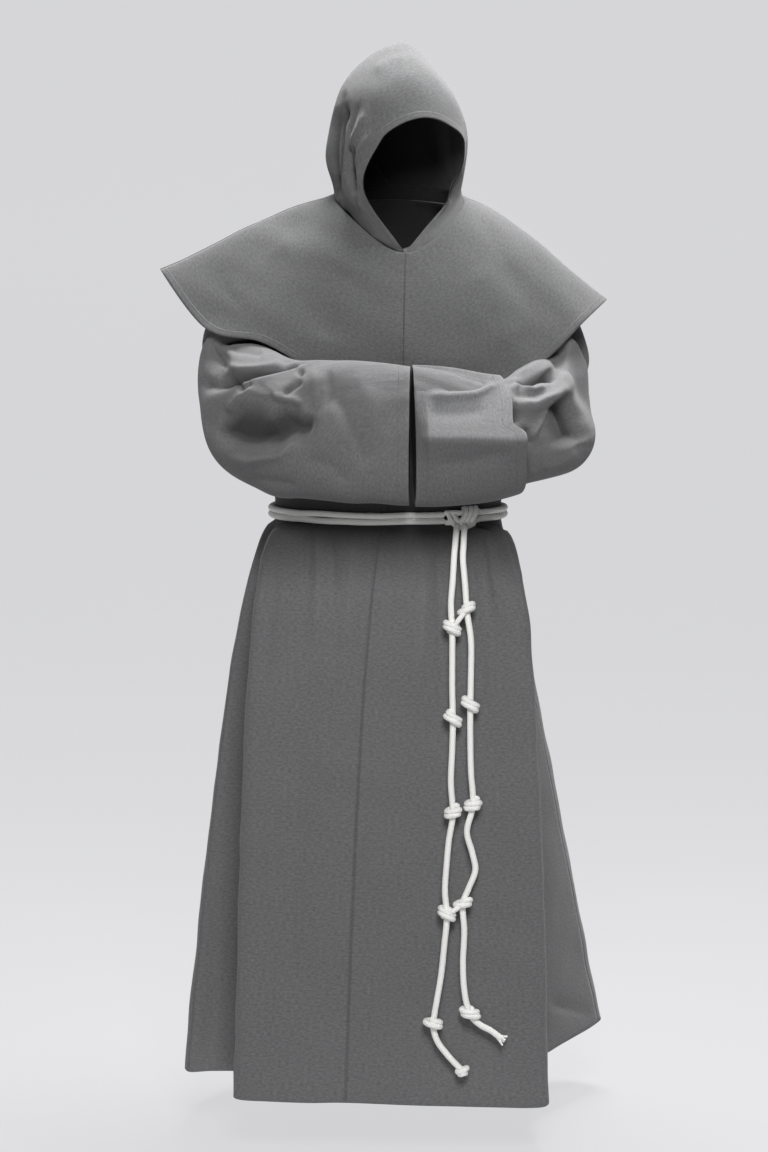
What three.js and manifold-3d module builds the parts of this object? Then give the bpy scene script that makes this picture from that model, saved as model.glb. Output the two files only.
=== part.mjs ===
// A monk's habit, worn but empty: a long tunic with wide crossed sleeves, a shoulder cape with a
// pointed hood, and a knotted rope belt. Millimetres, +Z up, the garment's front faces -Y.
// "left" and "right" in names are the wearer's own: left is +X. Heights are above the floor that
// the wearer would stand on; the finished group is lowered so that its origin is at the shoulders.
import * as THREE from 'three';
import { mergeVertices } from 'three/addons/utils/BufferGeometryUtils.js';
import Module from 'manifold-3d';

// ---------------------------------------------------------------- driving dimensions
const SHOULDER_HEIGHT = 1480;
const CLOTH = 2;
const SEAM_GAP = 0.36;
const WAIST = { height: 1005, band: 15, x: -8, half: 181, front: 125, back: 125 };
const HEM_HEIGHT = 97;
// The armhole spans these body sections, and opens this many degrees to each side of the side line.
const ARMHOLE = { low: 4, high: 7, opening: 36 };
// The neck seam: half width, depths, how far it is turned aside in front, its height and climb.
const NECK = { half: 102, front: 112, back: 102, ahead: 4, shift: 18, chin: 1413, rise: 108, early: 4.3 };
const NECK_GAP = 0.45;
const SEAM_DEGREES = 0.35;
const CAPE_LIFT = 0.55;
const HOOD_TURN = THREE.MathUtils.degToRad(24);
const HOOD_FOLD = { back: 0.42, width: 0.07, upTo: 0.5, softness: 0.16, depth: 13 };
const ROPE = { diameter: 9.6, sides: 8, endSteps: 36, turnSteps: 6 };
// The doubled rope round the waist: its knot's place, how much lower it is in front, its room.
const BELT = { knotX: 104, knotDegrees: 11, tilt: 4, clear: 1.56, apart: 0.5, steps: 38, samples: 40 };
// A knot on a hanging end: half width, length, room round the rope, and how its lobes stand out.
const KNOT = { half: 15, length: 18, bore: 0.5, bendRoom: 2.2, wall: 1.5, sides: 10, lobe: 0.1, twist: 2.6 };
const KNOT_PROFILE = [
  { height: -1, share: 0.5 },
  { height: -0.55, share: 0.94 },
  { height: 0.55, share: 0.94 },
  { height: 1, share: 0.5 },
];

const COLOURS = { cloth: 0x6f7072, rope: 0xd9d8d2 };

// Folds of the skirt, one row each, anticlockwise seen from above. angle is the place round the
// body (0 front seam, 90 wearer's left side, 180 back); x and y are at the hem; lift raises the
// hem there; swell says how soon below the belt the fold has its width (1 is a straight fold).
const SKIRT_FOLDS = [
  { angle: 0, x: -75, y: -207, lift: -5, swell: 0.45 },
  { angle: 14, x: 30, y: -209, lift: -8, swell: 0.45 },
  { angle: 32, x: 148, y: -206, lift: -12, swell: 0.42 },
  { angle: 46, x: 230, y: -201, lift: -14, swell: 0.18 },
  { angle: 52, x: 245, y: -184, lift: -10, swell: 0.17 },
  { angle: 60, x: 240, y: -110, lift: 2, swell: 0.35 },
  { angle: 68, x: 238, y: -30, lift: 12, swell: 0.55 },
  { angle: 76, x: 266, y: 18, lift: 16, swell: 0.8 },
  { angle: 86, x: 330, y: 112, lift: 24, swell: 1 },
  { angle: 92, x: 352, y: 150, lift: 28, swell: 1 },
  { angle: 98, x: 349, y: 184, lift: 22, swell: 0.9 },
  { angle: 114, x: 296, y: 214, lift: 8, swell: 0.7 },
  { angle: 130, x: 226, y: 196, lift: 4, swell: 0.65 },
  { angle: 143, x: 168, y: 246, lift: 0, swell: 0.6 },
  { angle: 157, x: 100, y: 198, lift: 0, swell: 0.7 },
  { angle: 172, x: 36, y: 252, lift: 0, swell: 0.55 },
  { angle: -174, x: -34, y: 206, lift: 0, swell: 0.7 },
  { angle: -160, x: -98, y: 250, lift: 0, swell: 0.6 },
  { angle: -146, x: -166, y: 192, lift: 0, swell: 0.7 },
  { angle: -131, x: -238, y: 204, lift: 2, swell: 0.6 },
  { angle: -114, x: -312, y: 106, lift: 6, swell: 0.58 },
  { angle: -98, x: -338, y: -8, lift: 2, swell: 0.55 },
  { angle: -90, x: -332, y: -56, lift: 0, swell: 0.55 },
  { angle: -82, x: -292, y: -52, lift: 0, swell: 0.55 },
  { angle: -72, x: -246, y: -60, lift: 0, swell: 0.5 },
  { angle: -64, x: -240, y: -112, lift: 0, swell: 0.35 },
  { angle: -54, x: -251, y: -180, lift: -2, swell: 0.22 },
  { angle: -48, x: -241, y: -196, lift: -3, swell: 0.22 },
  { angle: -32, x: -196, y: -203, lift: -4, swell: 0.4 },
  { angle: -16, x: -134, y: -207, lift: -5, swell: 0.45 },
];

// Sections of the body above the belt: heights in front, at the side and behind, and how far
// the cloth stands off the middle to the side, to the front and to the back.
const BODY_SECTIONS = [
  { front: 990, side: 990, rear: 990, half: 181, fore: 125, aft: 125 },
  { front: 1020, side: 1020, rear: 1020, half: 181, fore: 125, aft: 125 },
  { front: 1045, side: 1045, rear: 1045, half: 188, fore: 133, aft: 133 },
  { front: 1100, side: 1100, rear: 1100, half: 194, fore: 139, aft: 140 },
  { front: 1190, side: 1190, rear: 1190, half: 196, fore: 138, aft: 142 },
  { front: 1270, side: 1280, rear: 1280, half: 196, fore: 135, aft: 142 },
  { front: 1345, side: 1370, rear: 1370, half: 194, fore: 126, aft: 136 },
  { front: 1390, side: 1430, rear: 1430, half: 186, fore: 108, aft: 122 },
  { front: 1408, side: 1473, rear: 1478, half: 140, fore: 96, aft: 106 },
  { front: 1416, side: 1492, rear: 1502, half: 92, fore: 88, aft: 94 },
];
// The waist's sideways sway dies out over this many sections above this one.
const SWAY = { from: 1, over: 2 };

// Sleeve sections from the armhole to the mouth: the point on the inside of the bend, the point
// on the outside of it, half the thickness between them, and how square the section is.
const SLEEVE_RIGHT = [
  { inner: [-218, -2, 1194], outer: [-232, 0, 1406], half: 84, square: 1 },
  { inner: [-220, -10, 1190], outer: [-278, -5, 1345], half: 80, square: 1 },
  { inner: [-220, -42, 1196], outer: [-290, -16, 1240], half: 76, square: 1 },
  { inner: [-217, -90, 1206], outer: [-286, -52, 1150], half: 72, square: 0.95 },
  { inner: [-196, -132, 1218], outer: [-250, -100, 1076], half: 70, square: 0.95 },
  { inner: [-168, -170, 1232], outer: [-192, -152, 1044], half: 63, square: 0.9 },
  { inner: [-131, -198, 1243], outer: [-136, -192, 1037], half: 55, square: 0.9 },
  { inner: [-66, -222, 1250], outer: [-66, -221, 1033], half: 48, square: 0.9 },
  { inner: [25, -227, 1240], outer: [23, -227, 1029], half: 45, square: 0.9 },
];
const SLEEVE_LEFT = [
  { inner: [218, -2, 1194], outer: [232, 0, 1402], half: 84, square: 1 },
  { inner: [220, -10, 1192], outer: [277, -5, 1335], half: 80, square: 1 },
  { inner: [220, -44, 1200], outer: [277, -16, 1240], half: 75, square: 1 },
  { inner: [215, -90, 1206], outer: [300, -54, 1124], half: 72, square: 0.85 },
  { inner: [198, -132, 1210], outer: [266, -100, 1088], half: 69, square: 0.95 },
  { inner: [174, -170, 1214], outer: [204, -154, 1057], half: 62, square: 1.05 },
  { inner: [142, -199, 1222], outer: [146, -194, 1041], half: 54, square: 1.1 },
  { inner: [84, -222, 1234], outer: [86, -221, 1034], half: 48, square: 1.15 },
  { inner: [28.5, -227, 1240], outer: [33, -227, 1030], half: 44, square: 1.15 },
];

// Creases pressed into a sleeve: place along it (section number) and round it (degrees, 0 the
// inside of the bend, 90 the front, 180 the outside), half length and half width there, depth.
const CREASES_RIGHT = [
  { along: 3.2, round: 62, reach: 0.9, spread: 16, depth: 16 },
  { along: 2.1, round: 66, reach: 0.8, spread: 14, depth: -8 },
  { along: 4.5, round: 92, reach: 0.8, spread: 20, depth: 9 },
  { along: 5.6, round: 78, reach: 0.35, spread: 30, depth: -6 },
  { along: 6.3, round: 84, reach: 0.3, spread: 36, depth: 5 },
];
const CREASES_LEFT = [
  { along: 3.2, round: 48, reach: 0.9, spread: 14, depth: 14 },
  { along: 3.6, round: 88, reach: 0.7, spread: 24, depth: 12 },
  { along: 4.1, round: 66, reach: 0.9, spread: 12, depth: -9 },
  { along: 2.4, round: 100, reach: 0.6, spread: 16, depth: -6 },
];

// The turned-back cuff of the left sleeve: the sections where it starts and ends above and below
// the step, and how far it stands off, most at fullest degrees round; a ridge runs along it.
const CUFF = {
  mouth: 8, upperEnd: 5.75, lowerEnd: 5.35, stepAt: 86, stepWidth: 6, rearStep: 250, rearWidth: 12,
};
const CUFF_STAND = { lift: 13, least: 0.15, fullest: 110, flare: 0.8 };
const CUFF_RIDGE = { height: 9, at: 92, width: 17, rise: 4 };

// Lines of the cape from neck to hem: angle round the neck, hem point, height, outward crown.
const CAPE_LINES = [
  { angle: 0, x: 14, y: -160, height: 1172, crown: 13 },
  { angle: 25, x: 100, y: -154, height: 1185, crown: 15 },
  { angle: 45, x: 184, y: -130, height: 1217, crown: 18 },
  { angle: 60, x: 240, y: -108, height: 1250, crown: 20 },
  { angle: 75, x: 300, y: -76, height: 1308, crown: 16 },
  { angle: 88, x: 340, y: -8, height: 1342, crown: 20 },
  { angle: 102, x: 312, y: 66, height: 1315, crown: 24 },
  { angle: 122, x: 248, y: 122, height: 1265, crown: 28 },
  { angle: 150, x: 130, y: 156, height: 1215, crown: 27 },
  { angle: 180, x: 0, y: 168, height: 1198, crown: 27 },
  { angle: -150, x: -130, y: 156, height: 1222, crown: 27 },
  { angle: -122, x: -256, y: 122, height: 1285, crown: 28 },
  { angle: -102, x: -334, y: 64, height: 1348, crown: 20 },
  { angle: -88, x: -369, y: -4, height: 1388, crown: 9 },
  { angle: -74, x: -294, y: -84, height: 1297, crown: 12 },
  { angle: -58, x: -206, y: -126, height: 1276, crown: 17 },
  { angle: -43, x: -144, y: -147, height: 1243, crown: 16 },
  { angle: -24, x: -72, y: -158, height: 1196, crown: 14 },
];

// Arches of the hood from brim to back seam, in its own turned frame: how far forward and how
// high the ridge is, and two points on each side (forward, sideways left and right, height).
const HOOD_ARCHES = [
  { at: 0, cheek: [86, -88, 62, 1508], temple: [98, -66, 80, 1582], ridge: [121, 1619, 0] },
  { at: 0.22, cheek: [60, -104, 92, 1520], temple: [66, -90, 96, 1616], ridge: [88, 1688, 4] },
  { at: 0.48, cheek: [10, -106, 106, 1548], temple: [12, -88, 96, 1655], ridge: [40, 1732, 8] },
  { at: 0.75, cheek: [-62, -88, 88, 1572], temple: [-50, -66, 74, 1672], ridge: [12, 1747, 10] },
  { at: 1, cheek: [-118, -0.3, 0.3, 1586], temple: [-98, -0.3, 0.3, 1676], ridge: [-6, 1748, 10] },
];
// Where an arch passes its points, from the neck seam (0) over the ridge (1) and down again, and
// the point between temple and ridge as shares of the way forward, out and up.
const HOOD_STOPS = [0, 0.32, 0.64, 0.84, 1, 1.16];
const HOOD_CROWN = { ahead: 0.6, width: 0.62, height: 0.72 };

// The belt knot, from the middle of the doubled rope: two strands along the belt, and three
// turns over them. along is along the belt, out is away from the body.
const STRAND_RISES = [-9, 9];
const KNOT_STRAND = [
  { along: -20, out: 5 },
  { along: -10, out: 8 },
  { along: 10, out: 8 },
  { along: 20, out: 5 },
];
const TURN_PLACES = [-9, 1, 11];
const KNOT_TURN = [
  { along: -4, out: 10, rise: -12 },
  { along: -3, out: 15, rise: -9 },
  { along: 0, out: 18, rise: 0 },
  { along: 3, out: 15, rise: 9 },
  { along: 4, out: 8, rise: 13 },
];

// Routes of the two hanging rope ends, below the belt knot.
const ROPE_ENDS = {
  right: {
    route: [[99, -126, 988.7], [96, -144, 963], [94, -152, 941], [92, -162, 909], [89, -169, 871],
      [91, -175, 832], [91, -179, 794], [91, -184, 743], [92, -188, 692], [91, -193, 648], [89, -197, 598],
      [92, -200, 547], [86, -203, 508], [82, -206, 465], [80, -209, 428], [83, -211, 392], [79, -214, 345],
      [74, -217, 298], [68, -219, 262], [64, -220, 238], [62, -221, 218], [68, -222, 196], [82, -222, 176],
      [96, -222, 160], [108, -222, 148]],
    knots: [0.186, 0.348, 0.514, 0.697, 0.895],
  },
  left: {
    route: [[111, -125, 988.7], [109, -147, 963], [108, -153, 941], [111, -162, 903], [114, -169, 860],
      [120, -175, 817], [120, -180, 768], [119, -186, 715], [119, -189, 671], [120, -194, 617],
      [123, -198, 561], [114, -201, 521], [122, -203, 489], [127, -205, 462], [117, -207, 434],
      [108, -209, 410], [110, -211, 368], [108, -214, 314], [110, -217, 276], [115, -218, 250],
      [124, -219, 230], [137, -219, 219], [152, -219, 211], [166, -219, 200]],
    knots: [0.162, 0.339, 0.527, 0.718, 0.925],
  },
};

// ---------------------------------------------------------------- curves through named columns
const radians = THREE.MathUtils.degToRad;
const mix = THREE.MathUtils.lerp;

function hermite(p0, p1, m0, m1, span, t) {
  const t2 = t * t;
  const t3 = t2 * t;
  return (2 * t3 - 3 * t2 + 1) * p0 + (t3 - 2 * t2 + t) * span * m0
    + (3 * t2 - 2 * t3) * p1 + (t3 - t2) * span * m1;
}

// A smooth curve through values[] at places[]; a period makes it close on itself.
function smooth(places, values, at, period = 0) {
  const count = places.length;
  const place = (i) => places[((i % count) + count) % count] + (period ? Math.floor(i / count) * period : 0);
  const value = (i) => values[((i % count) + count) % count];
  let start = places[0];
  let where = at;
  if (period) where = start + ((((at - start) % period) + period) % period);
  let i = 0;
  const last = period ? count - 1 : count - 2;
  while (i < last && place(i + 1) <= where) i += 1;
  const slope = (j) => {
    const first = period ? j - 1 : Math.max(j - 1, 0);
    const next = period ? j + 1 : Math.min(j + 1, count - 1);
    return (value(next) - value(first)) / (place(next) - place(first));
  };
  const span = place(i + 1) - place(i);
  const t = THREE.MathUtils.clamp((where - place(i)) / span, 0, 1);
  return hermite(value(i), value(i + 1), slope(i), slope(i + 1), span, t);
}

const column = (rows, name) => rows.map((row) => row[name]);

// ---------------------------------------------------------------- the tunic
function waistPoint(angle) {
  const a = radians(angle);
  const depth = Math.abs(angle) <= 90 ? WAIST.front : WAIST.back;
  return [WAIST.x + WAIST.half * Math.sin(a), -depth * Math.cos(a)];
}

const skirtAngles = SKIRT_FOLDS.map((fold) => (fold.angle < 0 ? fold.angle + 360 : fold.angle));
const skirtWaist = SKIRT_FOLDS.map((fold) => waistPoint(fold.angle));

// A point of the skirt: angle round the body, drop 0 at the belt to 1 at the hem.
function skirtPoint(angle, drop) {
  const share = SKIRT_FOLDS.map((fold) => Math.pow(Math.max(drop, 0), fold.swell));
  const xs = SKIRT_FOLDS.map((fold, i) => mix(skirtWaist[i][0], fold.x, share[i]));
  const ys = SKIRT_FOLDS.map((fold, i) => mix(skirtWaist[i][1], fold.y, share[i]));
  const lift = smooth(skirtAngles, column(SKIRT_FOLDS, 'lift'), angle, 360);
  return new THREE.Vector3(
    smooth(skirtAngles, xs, angle, 360),
    smooth(skirtAngles, ys, angle, 360),
    mix(WAIST.height - WAIST.band, HEM_HEIGHT + lift, drop),
  );
}

const sectionNumbers = BODY_SECTIONS.map((section, i) => i);

// A point of the body from under the belt up: angle, and section number from 0 to 9 (neck).
function bodyPoint(angle, level) {
  const turned = ((angle + 540) % 360) - 180;
  const a = radians(turned);
  const side = Math.sin(a);
  const ahead = Math.cos(a);
  const at = (name) => smooth(sectionNumbers, column(BODY_SECTIONS, name), level);
  const end = ahead > 0 ? at('front') : at('rear');
  const depth = ahead > 0 ? at('fore') : at('aft');
  const drift = WAIST.x * THREE.MathUtils.clamp(1 - (level - SWAY.from) / SWAY.over, 0, 1);
  return new THREE.Vector3(drift + at('half') * side, -depth * ahead, mix(at('side'), end, ahead * ahead));
}

// One surface from hem (level -1) through belt (0 to 1) to neck (9).
const tunicPoint = (angle, level) => (level < 0 ? skirtPoint(angle, -level) : bodyPoint(angle, level));

// How far the armhole reaches from the side line at a section number, in degrees.
function armholeReach(level) {
  const { low, high } = ARMHOLE;
  const t = (2 * (level - low)) / (high - low) - 1;
  return Math.abs(t) >= 1 ? 0 : ARMHOLE.opening * Math.sqrt(1 - t * t);
}

// A point of the armhole's edge: round 0 underarm, 90 front, 180 shoulder, 270 back; side +-1.
function armholePoint(round, side) {
  const level = mix(ARMHOLE.low, ARMHOLE.high, (1 - Math.cos(radians(round))) / 2);
  const angle = 90 - ARMHOLE.opening * Math.sin(radians(round));
  return tunicPoint(side * angle, level);
}

// ---------------------------------------------------------------- walls of cloth
const STEP = 1e-3;

function normalOf(surface, u, v, flip) {
  const du = surface(u + STEP, v).sub(surface(u - STEP, v));
  const dv = surface(u, v + STEP).sub(surface(u, v - STEP));
  return du.cross(dv).normalize().multiplyScalar(flip);
}

// Closed body between two grids of points, outer[i][j] and inner[i][j]; round closes each row.
function wallBetween(outer, inner, round = false) {
  const rows = outer.length;
  const cols = outer[0].length;
  const positions = [];
  [outer, inner].flat(2).forEach((p) => positions.push(p.x, p.y, p.z));
  const at = (side, i, j) => side * rows * cols + i * cols + (j % cols);
  const faces = [];
  const quad = (a, b, c, d) => faces.push(a, b, c, a, c, d);
  const across = round ? cols : cols - 1;
  for (let i = 0; i < rows - 1; i += 1) {
    for (let j = 0; j < across; j += 1) {
      quad(at(0, i, j), at(0, i, j + 1), at(0, i + 1, j + 1), at(0, i + 1, j));
      quad(at(1, i, j), at(1, i + 1, j), at(1, i + 1, j + 1), at(1, i, j + 1));
    }
    if (!round) {
      quad(at(0, i, 0), at(0, i + 1, 0), at(1, i + 1, 0), at(1, i, 0));
      quad(at(0, i, cols - 1), at(1, i, cols - 1), at(1, i + 1, cols - 1), at(0, i + 1, cols - 1));
    }
  }
  for (let j = 0; j < across; j += 1) {
    quad(at(0, 0, j), at(1, 0, j), at(1, 0, j + 1), at(0, 0, j + 1));
    quad(at(0, rows - 1, j), at(0, rows - 1, j + 1), at(1, rows - 1, j + 1), at(1, rows - 1, j));
  }
  const geometry = new THREE.BufferGeometry();
  geometry.setAttribute('position', new THREE.Float32BufferAttribute(positions, 3));
  geometry.setIndex(faces);
  if (volumeOf(geometry) < 0) geometry.setIndex(reversed(faces));
  geometry.computeVertexNormals();
  return geometry;
}

// Every triangle with its second and third corners swapped.
const SWAPPED = [0, 1, -1];
const reversed = (faces) => faces.map((v, i) => faces[i + SWAPPED[i % 3]]);

function volumeOf(geometry) {
  const p = geometry.getAttribute('position');
  const index = geometry.getIndex();
  let total = 0;
  for (let i = 0; i < index.count; i += 3) {
    const [a, b, c] = [0, 1, 2].map((k) => new THREE.Vector3().fromBufferAttribute(p, index.getX(i + k)));
    total += a.dot(b.cross(c)) / 6;
  }
  return total;
}

// A wall of cloth whose outer face is the surface at rows x columns of (u, v) places.
function wallOn(surface, places, { flip = 1, thickness = CLOTH, round = false, flatten = null } = {}) {
  const outer = places.map((row) => row.map(([u, v]) => surface(u, v)));
  const inner = places.map((row, i) => row.map(([u, v], j) => {
    const inward = normalOf(surface, u, v, -flip * thickness);
    if (flatten) flatten(inward, i, j);
    return outer[i][j].clone().add(inward);
  }));
  return wallBetween(outer, inner, round);
}

const materials = Object.fromEntries(Object.entries(COLOURS).map(([name, color]) => [
  name, new THREE.MeshStandardMaterial({ name, color, roughness: 0.9, metalness: 0 })]));

const habit = new THREE.Group();
function add(name, geometry, slot = 'cloth') {
  const mesh = new THREE.Mesh(geometry, materials[slot].clone());
  mesh.name = name;
  habit.add(mesh);
  return mesh;
}

// ---------------------------------------------------------------- tunic panels
const SLEEVE_COLUMNS = 20;
const HALF_ROUND = SLEEVE_COLUMNS / 2;
const SKIRT_DROPS = [1, 0.8, 0.62, 0.45, 0.3, 0.18, 0.09, 0.035, 0.01];
const armholeLevels = Array.from({ length: HALF_ROUND + 1 }, (_, i) => (
  mix(ARMHOLE.low, ARMHOLE.high, (1 - Math.cos((Math.PI * i) / HALF_ROUND)) / 2)));
const TUNIC_LEVELS = [...SKIRT_DROPS.map((drop) => -drop), 0, 1, 1.5, 2, 3, ...armholeLevels, 8, 9];

const FRONT_ANGLES = [0, 10, 21, 32, 41, 46, 50, 54, 60, 67, 74, 82, 90];
const BACK_ANGLES = [90, 96, 103, 113, 123, 133, 144, 154, 164, 173];

// Shifts an edge place in from its seam by half the seam gap, in degrees.
function gapDegrees(surface, angle, level, gap) {
  const width = surface(angle + 0.5, level).distanceTo(surface(angle - 0.5, level));
  return gap / 2 / width;
}

function panelPlaces(angles, side, levels) {
  const first = angles[0];
  const last = angles[angles.length - 1];
  return levels.map((level) => {
    const reach = armholeReach(level);
    return angles.map((angle) => {
      let turned = angle;
      if (angle <= 90) turned = (angle * (90 - reach)) / 90;
      else turned = 180 - ((180 - angle) * (90 - reach)) / 90;
      if (angle === 90 && first === 90) turned = 90 + reach;
      const edge = angle === first || angle === last;
      const inward = angle === first ? 1 : -1;
      if (edge && angle !== 180) turned += inward * gapDegrees(tunicPoint, side * turned, level, SEAM_GAP);
      return [side * turned, level];
    });
  });
}

function buildTunic() {
  const left = panelPlaces(FRONT_ANGLES, 1, TUNIC_LEVELS);
  const right = panelPlaces(FRONT_ANGLES, -1, TUNIC_LEVELS);
  add('tunic_front_left', wallOn(tunicPoint, left, { flip: 1 }));
  add('tunic_front_right', wallOn(tunicPoint, right, { flip: 1 }));
  const backLeft = panelPlaces(BACK_ANGLES, 1, TUNIC_LEVELS);
  const backRight = panelPlaces(BACK_ANGLES, -1, TUNIC_LEVELS);
  const back = backLeft.map((row, i) => [
    ...row.slice(0, -1),
    [180, row[0][1]],
    ...backRight[i].slice(0, -1).reverse().map(([angle, level]) => [angle + 360, level]),
  ]);
  add('tunic_back', wallOn(tunicPoint, back, { flip: 1 }));
}

// ---------------------------------------------------------------- sleeves
const signedPower = (value, power) => Math.sign(value) * Math.pow(Math.abs(value), power);

function creaseDepth(creases, along, round) {
  let total = 0;
  creases.forEach((crease) => {
    const a = (along - crease.along) / crease.reach;
    const r = (round - crease.round) / crease.spread;
    total += crease.depth * Math.exp(-a * a - r * r);
  });
  return total;
}

// A sleeve's surface: round 0 inside of the bend, 90 front, 180 outside, 270 back; along is the
// section number, and below 0 it runs back to the armhole's edge.
function sleeveSurface(sections, creases, side) {
  const numbers = sections.map((section, i) => i);
  const track = (name, axis) => sections.map((section) => section[name][axis]);
  const inner = [0, 1, 2].map((axis) => track('inner', axis));
  const outer = [0, 1, 2].map((axis) => track('outer', axis));
  const at = (columns, along) => new THREE.Vector3(...columns.map((c) => smooth(numbers, c, along)));
  const sectionPoint = (round, along) => {
    const k = Math.max(along, 0);
    const low = at(inner, k);
    const high = at(outer, k);
    const centre = low.clone().add(high).multiplyScalar(0.5);
    const before = at(inner, k - 0.2).add(at(outer, k - 0.2));
    const travel = at(inner, k + 0.2).add(at(outer, k + 0.2)).sub(before);
    const across = high.clone().sub(low).multiplyScalar(0.5);
    const ahead = across.clone().cross(travel).normalize();
    if (ahead.y > 0) ahead.negate();
    const square = smooth(numbers, column(sections, 'square'), k);
    const half = smooth(numbers, column(sections, 'half'), k) - creaseDepth(creases, along, round);
    const c = signedPower(Math.cos(radians(round)), square);
    const s = signedPower(Math.sin(radians(round)), square);
    return centre.addScaledVector(across, -c).addScaledVector(ahead, half * s);
  };
  return (round, along) => {
    if (along >= 0) return sectionPoint(round, along);
    const edge = armholePoint(round, side);
    const middle = armholePoint(0, side).add(armholePoint(180, side)).multiplyScalar(0.5);
    const inward = middle.clone().sub(edge).setX(0).normalize();
    edge.addScaledVector(inward, SEAM_GAP);
    const first = sectionPoint(round, 0);
    const t = along + 1;
    const grown = t * t * (3 - 2 * t);
    return new THREE.Vector3(
      mix(edge.x, first.x, t),
      mix(edge.y, first.y, grown),
      mix(edge.z, first.z, grown),
    );
  };
}

const sleeveRight = sleeveSurface(SLEEVE_RIGHT, CREASES_RIGHT, -1);
const sleeveLeft = sleeveSurface(SLEEVE_LEFT, CREASES_LEFT, 1);
const SLEEVE_ROWS = [-1, -0.55, 0, 0.5, 1, 1.5, 2, 2.5, 3, 3.5, 4, 4.5, 5, 5.5, 6, 6.5, 7, 7.5, 8];
const ringAngles = Array.from({ length: SLEEVE_COLUMNS }, (_, i) => (360 * i) / SLEEVE_COLUMNS);

function buildSleeve(name, surface, side) {
  const places = SLEEVE_ROWS.map((along) => ringAngles.map((round) => [round, along]));
  const keepOffBody = (inward, i) => {
    if (i === 0) inward.setX(0).setLength(CLOTH);
  };
  add(name, wallOn(surface, places, { flip: -side, round: true, flatten: keepOffBody }));
}

// The cuff is the sleeve's own surface turned back over it, standing off towards its free end.
function cuffSurface(round, along) {
  const lower = 1 / (1 + Math.exp(-(round - CUFF.stepAt) / CUFF.stepWidth));
  const rear = 1 / (1 + Math.exp((round - CUFF.rearStep) / CUFF.rearWidth));
  const end = mix(CUFF.upperEnd, CUFF.lowerEnd, lower * rear);
  const k = mix(end, CUFF.mouth, along);
  const free = Math.max(1 - along, 0);
  const ridge = CUFF_RIDGE.height * Math.exp(-(((round - CUFF_RIDGE.at) / CUFF_RIDGE.width) ** 2));
  const facing = (1 + Math.cos(radians(round - CUFF_STAND.fullest))) / 2;
  const stand = CUFF_STAND.lift * Math.pow(free, CUFF_STAND.flare) * mix(CUFF_STAND.least, 1, facing);
  const off = CLOTH + SEAM_GAP + stand + ridge * Math.min(1, CUFF_RIDGE.rise * free);
  const point = sleeveLeft(round, k);
  return point.add(normalOf(sleeveLeft, round, k, -off));
}

function buildCuff() {
  const places = [0, 0.12, 0.3, 0.5, 0.7, 0.86, 1].map((along) => ringAngles.map((round) => [round, along]));
  add('cuff_left', wallOn(cuffSurface, places, { flip: -1, round: true }));
}

// ---------------------------------------------------------------- cape
// Places round the neck seam where the cape and the hood both have a column of points.
const NECK_ANGLES = [0, 6, 16, 27, 38, 50, 62, 75, 88, 102, 118, 135, 152, 168, 180];

function neckRing(angle) {
  const turned = ((angle + 540) % 360) - 180;
  const a = radians(turned);
  const half = Math.cos(a / 2);
  const depth = Math.abs(turned) < 90 ? NECK.front : NECK.back;
  const behind = Math.sin(a / 2) ** 2;
  const climb = (NECK.early * behind) / (1 + (NECK.early - 1) * behind);
  return new THREE.Vector3(
    NECK.half * Math.sin(a) + NECK.shift * half * half,
    -depth * Math.cos(a) - NECK.ahead,
    NECK.chin + NECK.rise * climb,
  );
}

// The level direction from the neck seam towards the inside of the neck.
function neckInward(angle) {
  const along = neckRing(angle + 0.5).sub(neckRing(angle - 0.5));
  return new THREE.Vector3(-along.y, along.x, 0).setLength(CLOTH);
}

const capeAngles = CAPE_LINES.map((line) => (line.angle < 0 ? line.angle + 360 : line.angle));

// A point of the cape: angle round the neck, fall 0 at the neck seam to 1 at the hem.
function capePoint(angle, fall) {
  const neck = neckRing(angle);
  const at = (name) => smooth(capeAngles, column(CAPE_LINES, name), angle, 360);
  const hem = new THREE.Vector3(at('x'), at('y'), at('height'));
  const outward = new THREE.Vector3(hem.x - neck.x, hem.y - neck.y, 0).normalize().setZ(CAPE_LIFT);
  const arch = 4 * fall * (1 - fall);
  return neck.lerp(hem, fall).addScaledVector(outward, at('crown') * arch);
}

const CAPE_FALLS = [0, 0.05, 0.14, 0.27, 0.42, 0.57, 0.72, 0.87, 1];
const SIDE_ANGLE = 88;
const CAPE_FRONT = NECK_ANGLES.filter((angle) => angle <= SIDE_ANGLE);
const CAPE_BACK = NECK_ANGLES.filter((angle) => angle >= SIDE_ANGLE && angle < 180);

function capePlaces(angles, side) {
  const first = angles[0];
  const last = angles[angles.length - 1];
  return CAPE_FALLS.map((fall) => angles.map((angle) => {
    let turned = angle;
    if (angle === first) turned += gapDegrees(capePoint, side * angle, fall, SEAM_GAP);
    else if (angle === last && last < 90) turned -= gapDegrees(capePoint, side * angle, fall, SEAM_GAP);
    return [side * turned, fall];
  }));
}

function buildCapePanel(name, places) {
  const levelAtNeck = (inward, i, j) => {
    if (i === 0) inward.copy(neckInward(places[i][j][0]));
  };
  add(name, wallOn(capePoint, places, { flip: -1, flatten: levelAtNeck }));
}

function buildCape() {
  buildCapePanel('cape_front_left', capePlaces(CAPE_FRONT, 1));
  buildCapePanel('cape_front_right', capePlaces(CAPE_FRONT, -1));
  const left = capePlaces(CAPE_BACK, 1);
  const right = capePlaces(CAPE_BACK, -1);
  const back = left.map((row, i) => [
    ...row,
    [180, row[0][1]],
    ...right[i].slice().reverse().map(([angle, fall]) => [angle + 360, fall]),
  ]);
  buildCapePanel('cape_back', back);
}

// ---------------------------------------------------------------- hood
const neckPlace = (back) => mix(SEAM_DEGREES, 180 - SEAM_DEGREES, back);

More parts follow.
